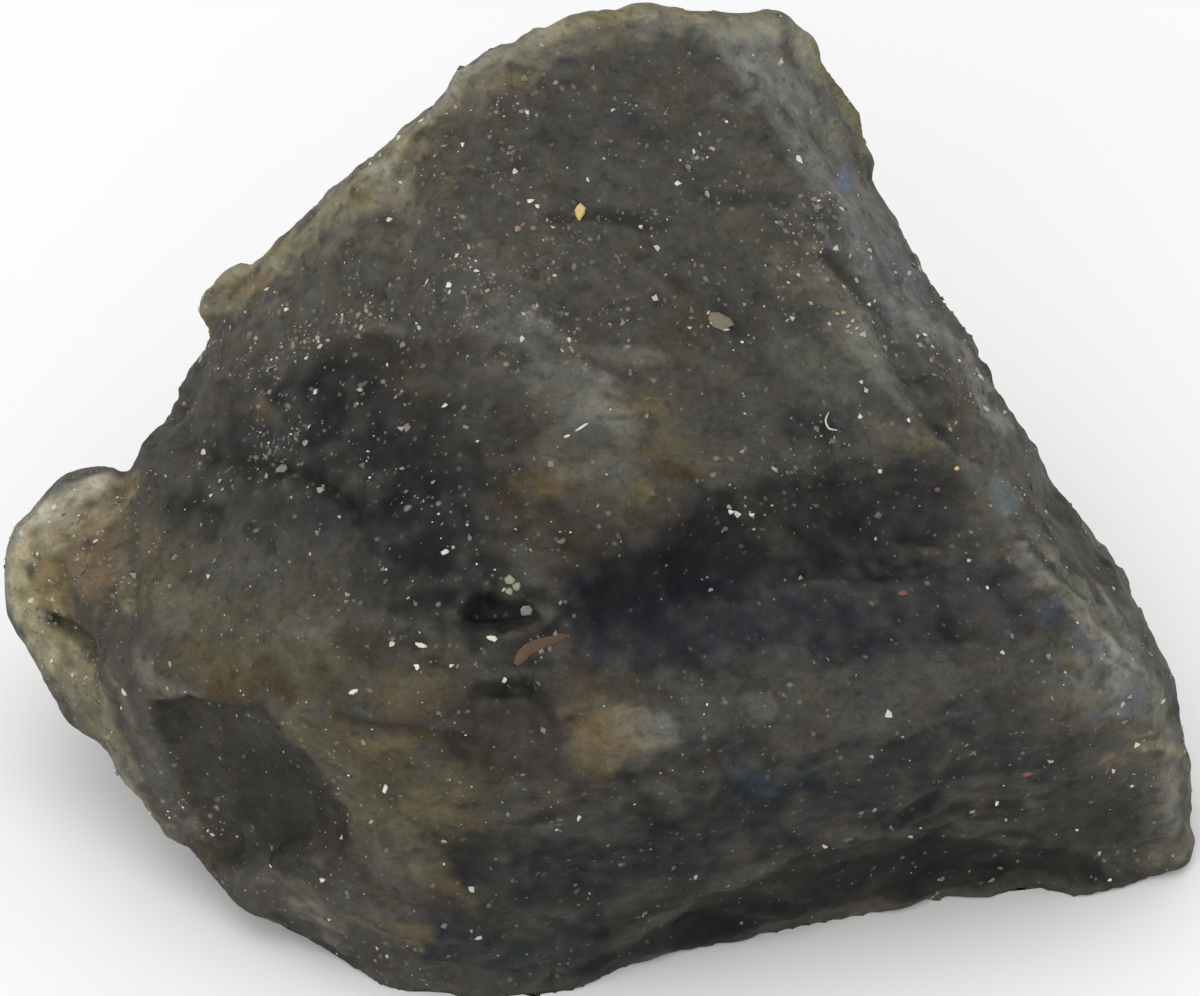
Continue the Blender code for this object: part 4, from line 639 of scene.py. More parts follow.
# Scoops knocked out of the stone: depth, wall width and rim, in mm.
SCOOPS = [
    (1.0, 0.7, [(-18.8, -10.2, 10.3), (-17.1, -11.7, 11.8), (-15.0, -13.0, 12.5), (-13.7, -13.7, 13.2),
        (-13.3, -14.3, 12.6), (-12.7, -14.8, 12.0), (-12.0, -15.2, 11.7), (-11.4, -15.4, 11.1),
        (-10.7, -15.8, 10.2), (-10.2, -16.5, 9.7), (-10.1, -16.5, 7.9), (-10.8, -16.2, 6.8),
        (-12.2, -15.6, 6.6), (-13.9, -13.7, 4.5), (-15.4, -12.9, 3.2), (-16.3, -11.9, 3.5), (-17.1, -11.1, 5.3),
        (-17.8, -10.7, 7.3), (-18.5, -10.4, 8.9)]),
    (0.55, 0.6, [(-5.7, -13.3, 17.8), (-5.4, -12.9, 18.0), (-4.7, -12.1, 17.6), (-3.8, -12.9, 18.4),
        (-2.9, -13.0, 18.3), (-2.2, -13.2, 18.0), (-1.9, -13.3, 17.7), (-2.2, -13.4, 17.4), (-3.0, -13.6, 17.3),
        (-4.0, -14.0, 17.6), (-5.0, -13.9, 17.6), (-5.6, -13.6, 17.6)]),
]

# Where the skin is worn smooth: how much, reach and line, in mm.
WORN = [
    (0.80, 3.0, [(-24.4, -1.6, 10.6), (-22.4, -2.6, 12.6), (-20.8, -1.2, 13.9)]),
    (0.65, 2.6, [(-24.0, -3.2, 8.8), (-22.4, -5.0, 9.6)]),
]

# Where the solid's bowls are eased into one slope: how much, reach and line, in mm.
EASED = [
    (0.75, 4.0, [(-5.2, -8.6, 20.8), (0.0, -7.9, 20.2), (2.1, -5.6, 21.0), (6.6, -3.8, 20.5),
        (12.3, -2.3, 19.7)]),
    (0.75, 3.5, [(-3.1, -12.8, 17.9), (0.0, -10.9, 18.6), (4.1, -7.6, 17.3), (8.2, -5.5, 17.1),
        (12.4, -4.2, 17.1), (14.9, -3.7, 17.3)]),
    (0.80, 4.5, [(-14.1, 1.7, 19.7), (-8.2, -1.6, 22.4), (-6.4, -5.7, 21.0), (-12.3, -3.6, 18.8)]),
    (0.70, 3.0, [(0.0, -16.7, 12.4), (-1.6, -15.2, 13.6), (-4.0, -14.4, 16.2)]),
    (0.70, 2.0, [(11.6, 0.7, 20.6), (10.8, 2.3, 21.9)]),
    (0.60, 1.5, [(-15.9, 6.2, 18.8), (-14.9, 6.7, 20.0)]),
]

# Where the skin stands out from or sinks under the plain solid: how far, reach, and the line, in mm.
SWELLS = [
    (0.42, 2.4, [(-5.2, 8.0, 28.6), (-3.0, 9.4, 29.4), (-1.6, 10.0, 29.7), (1.9, 11.2, 29.7), (2.9, 11.4, 29.4),
        (6.4, 12.0, 28.5)]),
    (0.62, 1.3, [(-16.4, 5.9, 18.5), (-15.7, 6.6, 19.4)]),
    (0.30, 1.8, [(7.8, 12.8, 28.1), (8.7, 13.1, 27.3)]),
    (-0.22, 2.2, [(10.3, 13.0, 25.8), (11.1, 12.7, 24.5), (11.5, 11.6, 22.8)]),
    (0.28, 1.6, [(11.5, 10.4, 21.9), (11.6, 9.4, 21.6), (12.2, 8.6, 20.9)]),
    (-0.45, 2.8, [(15.2, 6.3, 18.5), (16.9, 4.8, 15.9), (17.3, 3.3, 15.5)]),
    (-0.30, 2.2, [(16.2, 3.8, 17.3), (18.6, 1.9, 13.7), (22.4, -1.9, 10.3), (22.6, -2.9, 10.2)]),
    (-0.35, 2.4, [(23.2, -3.6, 9.1), (24.1, -5.3, 8.4), (24.8, -6.9, 5.5)]),
    (-0.20, 2.0, [(24.8, -6.9, 5.5), (25.2, -8.6, 2.5)]),
    (0.20, 1.8, [(-14.6, 6.5, 19.9), (-12.9, 6.0, 21.9)]),
    (-0.20, 2.0, [(-12.3, 6.8, 22.5), (-10.4, 7.6, 24.2), (-8.3, 7.0, 26.7), (-7.2, 7.5, 27.6)]),
    (0.55, 2.4, [(-24.6, -1.8, 10.7), (-24.2, -3.0, 9.2), (-23.3, -4.6, 7.9), (-22.3, -6.1, 6.7)]),
    (-0.10, 2.0, [(-22.2, -6.8, 5.9), (-20.2, -9.0, 4.8), (-19.4, -9.8, 4.2)]),
    (0.20, 2.0, [(-17.6, -10.9, 3.9), (-16.3, -12.2, 3.3), (-14.9, -13.6, 2.5)]),
    (-0.30, 0.8, [(9.5, 2.8, 23.4), (10.7, 2.3, 22.4), (11.8, 1.2, 21.5), (12.3, 0.0, 20.7), (12.9, -1.6, 19.9),
        (13.8, -2.6, 19.0), (14.7, -3.2, 18.0)]),
]
# The same for the foot, which moves level with the floor.
FOOT_SWELLS = [
    (0.42, 1.6, [(20.6, -10.7, 0.4), (21.9, -10.2, 0.4), (24.3, -9.4, 0.7)]),
    (-0.30, 1.2, [(17.4, -10.9, 0.3), (18.9, -10.8, 0.3)]),
    (0.28, 1.3, [(12.6, -11.8, 0.5), (16.2, -10.9, 0.2)]),
    (-0.22, 1.3, [(7.4, -13.4, 0.1), (8.6, -13.2, 0.2)]),
    (0.40, 1.5, [(2.6, -15.1, 0.6), (4.2, -13.9, 0.4), (5.4, -13.6, 0.4)]),
    (-0.25, 1.2, [(0.9, -15.9, 0.2)]),
    (-0.55, 1.6, [(-7.6, -17.1, 0.7), (-5.3, -17.6, 1.3), (-2.7, -17.1, 0.7)]),
    (0.15, 1.3, [(-9.5, -15.8, 0.1), (-8.2, -16.8, 0.5)]),
    (-0.28, 1.2, [(-11.5, -15.1, 0.3)]),
]

FLAKE_SMALLEST_MM = 0.092
FLAKE_LARGEST_MM = 0.40
FLAKE_RARITY = 4.0
FLAKE_SEED = 3
FLAKE_KINDS = 3
FLAKE_UNEVEN = 0.22         # how far a flake's corners are pushed about, in its size
FLAKE_LEAN = 0.5
# Places on the scale of the flakes' tones, its two ends first.
GRIT_TONES = [(0.0, (84, 81, 73)), (1.0, (220, 216, 206)), (0.35, (104, 100, 90)), (0.60, (132, 127, 115)),
              (0.80, (170, 164, 152))]

# How thickly the grit lies, in flakes a square millimetre, by place.
GRIT_EVERYWHERE = 1.3
GRIT = [
    # the upper face
    (2.8, 8.0, [(-7.0, 3.0, 25.2), (2.0, 2.0, 26.0), (4.0, -1.5, 23.0)]),
    (2.8, 3.4, [(-16.5, 5.9, 18.5), (-15.4, 3.5, 18.8), (-16.2, 0.7, 17.4), (-14.5, -1.6, 18.1)]),
    (2.1, 4.0, [(-12.0, 0.0, 20.5), (-6.0, -6.0, 21.5)]),
    (3.6, 2.6, [(-8.2, 3.2, 24.8), (-5.7, 0.1, 25.3), (-7.3, -0.7, 23.7)]),
    (0.6, 2.8, [(0.5, -5.5, 21.8), (4.0, -4.0, 21.3), (8.5, -1.6, 21.2)]),
    (0.9, 2.2, [(-4.0, 9.0, 29.0), (2.0, 11.0, 29.6), (8.0, 12.5, 28.0)]),
    # its clusters
    (11.0, 1.5, [(-13.0, 1.0, 20.3), (-12.8, -0.5, 20.0)]),
    (8.5, 1.1, [(-11.5, 0.3, 21.2), (-9.2, -0.7, 22.4), (-6.5, -2.1, 23.4)]),
    (6.5, 1.4, [(-5.9, -0.5, 24.6), (-4.0, -1.9, 24.2), (-3.2, -3.3, 23.5)]),
    (7.0, 1.2, [(-1.6, 1.6, 25.9), (0.1, 0.9, 25.1)]),
    (6.5, 1.0, [(-2.2, -0.1, 24.8), (-1.2, -0.4, 24.3)]),
    (6.0, 1.0, [(-4.1, -2.5, 24.0), (-1.6, -2.6, 23.5)]),
    (5.5, 1.1, [(1.1, -0.9, 23.7), (2.5, -1.4, 23.2)]),
    (8.5, 1.2, [(-14.4, -2.2, 18.0), (-12.3, -3.7, 18.8)]),
    # the ridge and the flank at the right
    (9.0, 1.9, [(8.6, 4.6, 24.4), (10.0, 3.2, 23.3), (11.6, 2.3, 21.9), (13.2, 1.4, 20.5), (15.0, 0.7, 18.9)]),
    (5.5, 1.0, [(14.4, -3.0, 18.3), (15.3, -2.7, 17.8)]),
    (8.0, 1.7, [(16.5, -5.0, 15.6), (18.1, -6.8, 15.0), (19.7, -8.9, 13.5)]),
    # the nose and the left rim
    (4.0, 2.2, [(-21.4, -0.4, 13.4), (-20.4, -2.9, 12.7), (-19.0, -5.1, 12.5)]),
    (3.6, 2.0, [(-24.2, -2.3, 11.2), (-23.4, -4.1, 9.5), (-22.5, -5.7, 8.4)]),
    (4.2, 1.5, [(-22.5, -5.7, 8.4), (-21.2, -7.3, 7.2), (-20.0, -8.6, 5.5), (-17.0, -11.5, 3.8)]),
    # the step, the scoop and the front, where little lies
    (0.35, 4.2, [(1.0, -12.5, 16.0), (8.0, -10.5, 14.8), (15.5, -8.5, 14.5)]),
    (0.40, 2.4, [(2.0, -15.5, 13.8), (9.0, -14.5, 12.8), (16.0, -12.8, 12.4)]),
    (0.40, 2.6, [(-15.6, -11.5, 8.5), (-13.5, -14.0, 7.0)]),
    (0.65, 4.5, [(-6.0, -17.0, 7.0), (4.0, -16.4, 7.0), (13.0, -13.8, 7.5)]),
    (0.25, 1.6, [(0.0, -16.5, 1.0), (9.0, -14.0, 2.5), (16.0, -12.0, 4.0)]),
]

# Single grains that can be told apart: colour, length, width, thickness and turn, and where each lies, in mm.
GRAINS = [
    ("gold", 0.74, 0.50, 0.22, 80, (-0.76, 2.01, 26.13)),
    ("tanflake", 1.25, 0.80, 0.20, -25, (4.90, -0.83, 22.89)),
    ("brassgrain", 0.30, 0.18, 0.14, 10, (10.05, 0.55, 22.13)),
    ("cream", 0.22, 0.14, 0.12, 70, (10.45, 0.35, 21.93)),
    ("brassgrain", 0.26, 0.16, 0.12, 40, (10.24, 0.05, 21.80)),
    ("brassgrain", 0.20, 0.14, 0.10, 0, (9.80, 0.40, 22.20)),
    ("cream", 0.18, 0.12, 0.10, 30, (10.60, 0.05, 21.70)),
    ("cream", 0.42, 0.10, 0.10, 12, (5.20, -1.20, 22.70)),
    ("cream", 0.30, 0.10, 0.10, -30, (4.62, -1.02, 22.80)),
    ("cream", 0.22, 0.12, 0.10, 60, (4.45, -0.62, 23.05)),
    ("white", 0.66, 0.11, 0.08, 34, (-0.70, -6.15, 21.60)),
    ("white", 0.34, 0.12, 0.08, 30, (-1.30, -6.55, 21.45)),
    ("gold", 0.24, 0.20, 0.12, 15, (14.75, -3.83, 17.39)),
    ("redgrain", 0.30, 0.22, 0.12, 30, (-3.13, 1.30, 26.11)),
    ("redgrain", 0.22, 0.20, 0.10, 60, (1.24, -3.50, 22.10)),
    ("magenta", 0.30, 0.24, 0.12, 0, (13.84, -3.75, 16.41)),
    ("rustgrain", 0.50, 0.36, 0.12, 20, (12.40, -8.66, 14.82)),
    ("rustgrain", 0.60, 0.30, 0.12, 10, (17.57, -12.67, 8.37)),
    ("white", 0.40, 0.26, 0.14, 20, (-6.21, -11.29, 19.36)),
    ("white", 0.52, 0.22, 0.14, -20, (-7.16, -14.09, 16.74)),
    ("white", 0.44, 0.24, 0.14, 15, (-9.87, -14.75, 14.81)),
    ("white", 0.58, 0.24, 0.14, -10, (-4.23, -14.18, 17.30)),
    ("greenpale", 0.50, 0.40, 0.20, 0, (-3.60, -12.52, 18.95)),
    ("greenpale", 0.42, 0.34, 0.20, 50, (-3.30, -12.80, 18.70)),
    ("greenpale", 0.36, 0.30, 0.18, 100, (-3.62, -12.95, 18.60)),
    ("greygrain", 0.66, 0.46, 0.20, 10, (-2.83, -13.43, 17.81)),
    ("greygrain", 0.66, 0.56, 0.18, 40, (-13.07, -4.34, 17.92)),
    ("white", 0.40, 0.22, 0.12, 70, (-8.67, -16.14, 10.81)),
]

GRAIN_SIDES = 7
GRAIN_RINGS = ((-0.45, 0.9), (0.25, 1.0), (0.62, 0.62))         # height in thicknesses, and share of the width

# A splinter and a thread: colour, half width, height, sides, and the line each follows, in mm.
STRAND_POINTS = 15
STRANDS = [
    ("rustflake", 0.26, 0.12, 8, [(-3.39, -14.44, 15.98), (-2.79, -13.83, 16.36), (-1.47, -12.99, 16.31)]),
    ("thread", 0.045, 0.10, 6, [(9.39, -3.51, 20.16), (9.27, -3.82, 19.99), (9.43, -4.07, 19.77),
                                (9.76, -4.07, 19.66)]),
]

GRAIN_COLOURS = {
    "white": (214, 208, 196),
    "cream": (190, 180, 158),
    "gold": (206, 178, 116), "brassgrain": (168, 148, 104),
    "tanflake": (112, 104, 84),
    "rustflake": (84, 64, 42),
    "redgrain": (132, 82, 70),
    "rustgrain": (116, 76, 64),
    "magenta": (112, 76, 86),
    "greenpale": (132, 136, 114),
    "greygrain": (112, 116, 108),
    "thread": (196, 194, 184),
}


def linear(colour):
    """An eight-bit display colour as the light it stands for."""
    shares = [c / 255 for c in colour]
    return [s / 12.92 if s <= 0.04045 else ((s + 0.055) / 1.055) ** 2.4 for s in shares]


def pigment(name):
    """The stone's own colour under a named display colour: what the soft sheen adds is taken off."""
    return np.array([max(0.004, c - SHEEN) for c in linear(COLOURS[name])])


def ramp(values, low, high):
    """Nought at low, one at high, with an easy start and end."""
    t = np.clip((values - low) / (high - low), 0.0, 1.0)
    return t * t * (3 - 2 * t)


# ---------------------------------------------------------------- points, faces and noise of a mesh


def points(mesh):
    """A mesh's points in millimetres."""
    flat = np.empty(len(mesh.vertices) * 3, np.float32)
    mesh.vertices.foreach_get("co", flat)
    return flat.reshape(-1, 3).astype(float) / MM


def place_points(mesh, where):
    mesh.vertices.foreach_set("co", (where * MM).astype(np.float32).ravel())
    mesh.update()


def edge_ends(mesh):
    flat = np.empty(len(mesh.edges) * 2, np.int32)
    mesh.edges.foreach_get("vertices", flat)
    return flat.reshape(-1, 2)


def outward(mesh, where):
    """The direction out of the stone at each point, summed over the faces in their order."""
    mesh.calc_loop_triangles()
    flat = np.empty(len(mesh.loop_triangles) * 3, np.int32)
    mesh.loop_triangles.foreach_get("vertices", flat)
    tri = flat.reshape(-1, 3)
    across = np.cross(where[tri[:, 1]] - where[tri[:, 0]], where[tri[:, 2]] - where[tri[:, 0]])
    each = np.repeat(across, 3, axis=0)
    total = np.stack([np.bincount(flat, each[:, i], len(where)) for i in range(3)], axis=1)
    return total / np.maximum(np.linalg.norm(total, axis=1), 1e-12)[:, None]


def even_out(values, ends, rounds):
    """Each point's value drawn towards its neighbours', as many times as rounds says."""
    a, b = ends[:, 0], ends[:, 1]
    size = len(values)
    count = np.bincount(a, minlength=size) + np.bincount(b, minlength=size) + 1.0
    for _ in range(rounds):
        sums = [np.bincount(a, v[b], size) + np.bincount(b, v[a], size) + v for v in values.T]
        values = np.stack(sums, axis=1) / count[:, None]
    return values


def standing_out(where, ends, out, rounds):
    """How far each point stands out of its surroundings, in millimetres: less than nought in a hollow."""
    return np.einsum("ij,ij->i", where - even_out(where, ends, rounds), out)


def cloud(where, size, seed):
    """Smooth noise over the points, about -1 to 1, with lumps of about that size in millimetres."""
    shift = np.array([17.3, -5.1, 9.7]) * seed
    return np.array([noise.noise(p) for p in (where / size + shift).tolist()])


def cells(where, size, seed):
    """How far each point lies from the nearest of a set of scattered seeds, in sizes."""
    shift = np.array([7.3, 3.1, -4.7]) * seed
    return np.array([noise.voronoi(p)[0][0] for p in (where / size + shift).tolist()])


def away_from_line(where, line):
    """How far each point lies from a line of points."""
    line = np.array(line, float)
    if len(line) == 1:
        return np.linalg.norm(where - line[0], axis=1)
    best = np.full(len(where), 1e9)
    for start, end in zip(line[:-1], line[1:]):
        way = end - start
        t = np.clip((where - start) @ way / (way @ way), 0, 1)
        best = np.minimum(best, np.linalg.norm(where - start - t[:, None] * way, axis=1))
    return best


def near(where, line, reach, none, full):
    """One along a line, nought further off. It turns between the two distances, in reaches and less than nought."""
    return ramp(-away_from_line(where, line) / reach, none, full)


def within(where, outline, reach=3.0):
    """How far each point lies inside an outline drawn on the stone: less than nought outside or off its plane."""
    outline = np.array(outline)
    centre = outline.mean(axis=0)
    axes = np.linalg.svd(outline - centre)[2]
    flat, ring = (where - centre) @ axes[:2].T, (outline - centre) @ axes[:2].T
    inside, nearest = np.zeros(len(where), bool), np.full(len(where), 1e9)
    for start, end in zip(ring, np.roll(ring, -1, axis=0)):
        way, from_start = end - start, flat - start
        t = np.clip(from_start @ way / (way @ way), 0, 1)
        nearest = np.minimum(nearest, np.linalg.norm(from_start - t[:, None] * way, axis=1))
        crossed = (start[1] > flat[:, 1]) != (end[1] > flat[:, 1])
        inside ^= crossed & (from_start[:, 0] * way[1] < from_start[:, 1] * way[0]) ^ (crossed & (way[1] < 0))
    return np.minimum(np.where(inside, nearest, -nearest), reach - abs((where - centre) @ axes[2]))


# ---------------------------------------------------------------- the stone's shape


def in_scene(name, mesh):
    obj = bpy.data.objects.new(name, mesh)
    bpy.context.scene.collection.objects.link(obj)
    return obj


def settle(obj):
    """Turns an object and its modifiers into a plain mesh."""
    graph = bpy.context.evaluated_depsgraph_get()
    mesh = bpy.data.meshes.new_from_object(obj.evaluated_get(graph))
    old = obj.data
    obj.modifiers.clear()
    obj.data = mesh
    bpy.data.meshes.remove(old)
    return obj


def merged_copy(node):
    mesh = node.data.copy()
    bm = bmesh.new()
    bm.from_mesh(mesh)
    bmesh.ops.remove_doubles(bm, verts=bm.verts[:], dist=1e-6)
    bm.to_mesh(mesh)
    bm.free()
    return mesh


def cleavage_ledges(where):
    """Small steps, all facing one way, where the stone split along its cleavage."""
    bend = 1.25 * cloud(where, 3.4, 11) + 0.45 * cloud(where, 1.3, 12)
    level = where @ np.array(CLEAVAGE) / LEDGE_PITCH_MM + bend
    saw = level - np.floor(level)
    tread = np.where(saw < LEDGE_TREAD, saw / LEDGE_TREAD, (1 - saw) / (1 - LEDGE_TREAD))
    strength = np.clip(0.55 + 1.5 * cloud(where, 5.5, 13), 0, 1)
    return LEDGE_HEIGHT_MM * (tread - 0.5) * strength


def facets(where, ends, out):
    """Cuts the stone back to small planes wherever it stands above them, mostly along its edges."""
    proud = standing_out(where, ends, out, PROUD_ROUNDS)
    likely = np.clip(4 * proud - 0.15, 0.01, 1.2) * (where[:, 2] > 0.6)
    rng = np.random.default_rng(31)
    where = where.copy()
    for pick in rng.choice(len(where), FACET_COUNT, p=likely / likely.sum()):
        reach = rng.uniform(*FACET_REACH_MM)
        away = np.linalg.norm(where - where[pick], axis=1)
        close = np.flatnonzero(away < reach)
        face = out[close].mean(axis=0) + rng.normal(0, FACET_LEAN, 3)
        face /= np.linalg.norm(face)
        level = (where[close] - where[pick]) @ face
        top = np.percentile(level, FACET_TOP_PERCENT)
        above = level - top + reach * rng.uniform(*FACET_CUT)
        above = np.maximum(above, 0) * ramp(1 - away[close] / reach, 0.0, 0.5) * ramp(where[close, 2], 0.1, 0.8)
        where[close] -= above[:, None] * face
    return where


def hollow_out(where):
    """Sinks the floors of the scoops below their rims, each with a wall that drops from the rim."""
    for depth, wall, outline in SCOOPS:
        ring = np.array(outline)
        centre = ring.mean(axis=0)
        face = np.linalg.svd(ring - centre)[2][2]
        face *= np.sign(face @ (centre - where.mean(axis=0)))
        inside = within(where, outline)
        floor = -depth * (1 - np.exp(-np.maximum(inside, 0) / wall))
        rise = (where - centre) @ face
        where = where + (ramp(inside, 0.0, 0.5) * (floor - rise))[:, None] * face
    return where


def chips(where, ends, out):
    """Shallow scoops knocked out of the standing edges."""
    proud = standing_out(where, ends, out, PROUD_ROUNDS)
    edge = np.flatnonzero((proud > CHIP_LEAST_PROUD_MM) & (where[:, 2] > 1.0))
    rng = np.random.default_rng(23)
    depth = np.zeros(len(where))
    for pick in rng.choice(edge, CHIP_COUNT, replace=False):
        reach = rng.uniform(*CHIP_REACH_MM)
        drop = CHIP_DEPTH_MM * rng.uniform(0.5, 1.3) * min(1.0, reach)
        away = np.linalg.norm(where - where[pick], axis=1) / reach
        depth = np.maximum(depth, drop * ramp(1 - away, 0.0, 0.75))
    return depth


def skin_height(where, ends, out):
    """How far the skin stands out from the plain solid at each point, in millimetres."""
    height = LUMP_MM * cloud(where, 2.1, 1) + 0.6 * LUMP_MM * cloud(where, 1.05, 2)
    height += GRAIN_MM * cloud(where, 0.5, 3)
    height += cleavage_ledges(where)
    height -= PIT_MM * ramp(0.42 - cells(where, 1.9, 4), 0.0, 0.30) * ramp(cloud(where, 4.0, 5), -0.1, 0.3)
    height -= chips(where, ends, out)
    for share, reach, line in WORN:
        height *= 1 - share * near(where, line, reach, -1.2, -0.6)
    for swell, reach, line in SWELLS:
        height += swell * near(where, line, reach, -1.0, -0.2)
    wander = 0.10 * cloud(where, 0.7, 6)
    for depth, half_width, _, line in CRACKS:
        away = away_from_line(where, line) + wander
        height -= depth * np.exp(-(away / (half_width * 1.25)) ** 2)
    return height - SINK_MM


def unfold(mesh, where, ends):
    """Irons out the few places where the raised skin has folded over itself."""
    free = ramp(where[:, 2], 0.02, FOOT_MM)[:, None]
    for _ in range(3):
        out = outward(mesh, where)
        steady = even_out(out, ends, 10)
        steady /= np.maximum(np.linalg.norm(steady, axis=1), 1e-9)[:, None]
        folded = (np.einsum("ij,ij->i", out, steady) < 0.45).astype(float)[:, None]
        share = np.clip(4 * even_out(folded, ends, 6), 0, 1) * free
        where = where + share * (even_out(where, ends, 8) - where)
    return where


def stone_shape(node):
    """The stone's mesh: the CAD solid with its facets eased and its broken skin raised on it."""
    stone = in_scene("stone", merged_copy(node))
    grid = stone.modifiers.new("grid", "REMESH")
    grid.mode = "VOXEL"
    grid.voxel_size = SKIN_GRID_MM * MM
    settle(stone)

    mesh = stone.data
    where, ends = points(mesh), edge_ends(mesh)
    free = ramp(where[:, 2], 0.02, FOOT_MM)[:, None]
    where = where + free * (even_out(where, ends, SMOOTHING_ROUNDS) - where)
    eased, share = even_out(where, ends, EASE_ROUNDS), np.zeros(len(where))
    for most, reach, line in EASED:
        share = np.maximum(share, most * near(where, line, reach, -1.2, -0.5))
    where = where + share[:, None] * (eased - where)
    where = hollow_out(where)
    crisp = CRISP * (where - even_out(where, ends, CRISP_ROUNDS))
    length = np.linalg.norm(crisp, axis=1)[:, None]
    where = where + free * crisp * np.minimum(1.0, CRISP_MM / np.maximum(length, 1e-9))
    where = facets(where, ends, outward(mesh, where))
    out = outward(mesh, where)
    where = where + free * out * skin_height(where, ends, out)[:, None]
    level = out * np.array((1.0, 1.0, 0.0))
    for swell, reach, line in FOOT_SWELLS:
        where = where + level * (swell * near(where, line, reach, -1.0, -0.2))[:, None]
    where = unfold(mesh, where, ends)
    where[:, 2] = np.maximum(where[:, 2], 0.0)
    place_points(mesh, where)

    faces = sum(len(p.vertices) - 2 for p in mesh.polygons)
    thin = stone.modifiers.new("thin", "DECIMATE")
    thin.ratio = min(1.0, SKIN_TRIANGLES / faces)
    settle(stone)
    stone.data.shade_smooth()
    return stone


# ---------------------------------------------------------------- the stone's colours


def laid_over(colour, mask, new):
    """A colour at each point, with a new one over it as strongly as the mask says."""
    mask = mask[:, None]
    return colour * (1 - mask) + mask * new


def clouded_body(where, out):
    """The grey body colour and its large clouds, stronger on the back and the sides, where few stains or marks of
    painted light are laid.
    """
    unseen = ramp(out @ np.array(FRONT), 0.25, -0.35)
    colour = np.tile(pigment(BODY_COLOUR), (len(where), 1))
    stretched = where * np.array(CLOUD_STRETCH)
    for name, size, seed, low, high, seen, hidden in CLOUDS:
        mask = ramp(cloud(stretched, size, seed) + 0.35 * cloud(where, size / 3, seed + 20), low, high)
        colour = laid_over(colour, mask * (seen + (hidden - seen) * unseen), pigment(name))
    return colour


def lay_stains_and_painted_light(colour, where):
    """Lays the stains and the marks of painted light one over another. The wider one is, the coarser its edge
    wanders.
    """
    broad, middle, fine = cloud(where, 2.6, 41), cloud(where, 1.1, 42), cloud(where, 0.5, 43)
    patchy = np.clip(0.86 + 0.55 * cloud(where, 1.5, 44) + 0.50 * cloud(where, 0.6, 45), 0.25, 1.1)
    wide = 0.45 * broad + 0.40 * middle + 0.18 * fine
    medium = 0.45 * middle + 0.35 * fine
    narrow = 0.15 * middle + 0.35 * fine
    for name, strength, reach, line in STAINS_AND_PAINTED_LIGHT:
        wander = wide if reach > WIDE_MARK_MM else medium if reach > NARROW_MARK_MM else narrow
        away = away_from_line(where, line) / reach + 1.1 * wander
        mask = np.minimum(1.0, strength * patchy * ramp(-away, -1.40, -0.45))
        colour = laid_over(colour, mask, pigment(name))
    return colour


def lay_patches(colour, where):
    """Fills the outlined patches, some of them painted shadow and shade, whose edges are firmer than those of the
    stains and painted light.
    """
    wander = 0.16 * cloud(where, 0.9, 46) + 0.10 * cloud(where, 0.4, 47)
    patchy = np.clip(0.95 + 0.35 * cloud(where, 1.3, 48) + 0.25 * cloud(where, 0.5, 49), 0.4, 1.0)
    for name, strength, edge, outline in PATCHES:
        inside = within(where, outline) + wander
        colour = laid_over(colour, strength * patchy * ramp(inside / edge, -0.5, 0.8), pigment(name))
    return colour


def colour_stone(stone):
    """Stores the colour of each point of the stone, and how much grit lies there."""
    mesh = stone.data
    where, ends = points(mesh), edge_ends(mesh)
    out = outward(mesh, where)
    proud = standing_out(where, ends, out, PAINT_ROUNDS)
    colour = lay_patches(lay_stains_and_painted_light(clouded_body(where, out), where), where)
    # painted glow: thin standing edges are lightened as if light shone through them
    edge = EDGE_GLOW_PAINTED * ramp(proud, 0.05, 0.26) * ramp(cloud(where, 1.6, 51), -0.35, 0.35)
    colour = laid_over(colour, edge, colour * 1.35 + 0.02)
    hollow = HOLLOW_SHADED * ramp(-proud, 0.03, 0.16)
    colour = laid_over(colour, hollow, colour * 0.45)
    wander = 0.10 * cloud(where, 0.7, 6)
    dark = np.array(linear(CRACK_COLOUR))
    for _, half_width, strength, line in CRACKS:
        away = away_from_line(where, line) + wander
        colour = laid_over(colour, strength * np.exp(-(away / (half_width * 1.3)) ** 2), dark)

    thickness = np.full(len(where), GRIT_EVERYWHERE)
    for amount, reach, line in GRIT:
        mask = ramp(-away_from_line(where, line) / reach + 0.5 * cloud(where, 2.5, 61), -1.3, -0.6)
        thickness = thickness * (1 - mask) + amount * mask
    thickness *= np.clip(0.55 + 1.9 * cloud(where, 1.1, 62) + 1.0 * cloud(where, 3.0, 63), 0.04, 2.6)
    thickness *= ramp(where[:, 2], 0.15, 0.6) * ramp(out[:, 2], -0.75, -0.25)

    tint = mesh.color_attributes.new(name="tint", type="FLOAT_COLOR", domain="POINT")
    tint.data.foreach_set("color", np.column_stack((colour, np.ones(len(colour)))).astype(np.float32).ravel())
    grit = mesh.attributes.new(name="grit", type="FLOAT", domain="POINT")
    grit.data.foreach_set("value", np.maximum(thickness, 0).astype(np.float32))


# ---------------------------------------------------------------- node trees


class Wire:
    """One socket of a tree, which can be added to, taken from, multiplied and raised to a power."""

    def __init__(self, bench, socket):
        self.bench, self.socket = bench, socket

    def __add__(self, other): return self.bench.sum("ADD", self, other)
    def __radd__(self, other): return self.bench.sum("ADD", other, self)
    def __sub__(self, other): return self.bench.sum("SUBTRACT", self, other)
    def __rsub__(self, other): return self.bench.sum("SUBTRACT", other, self)
    def __mul__(self, other): return self.bench.sum("MULTIPLY", self, other)
    def __rmul__(self, other): return self.bench.sum("MULTIPLY", other, self)
    def __pow__(self, other): return self.bench.sum("POWER", self, other)


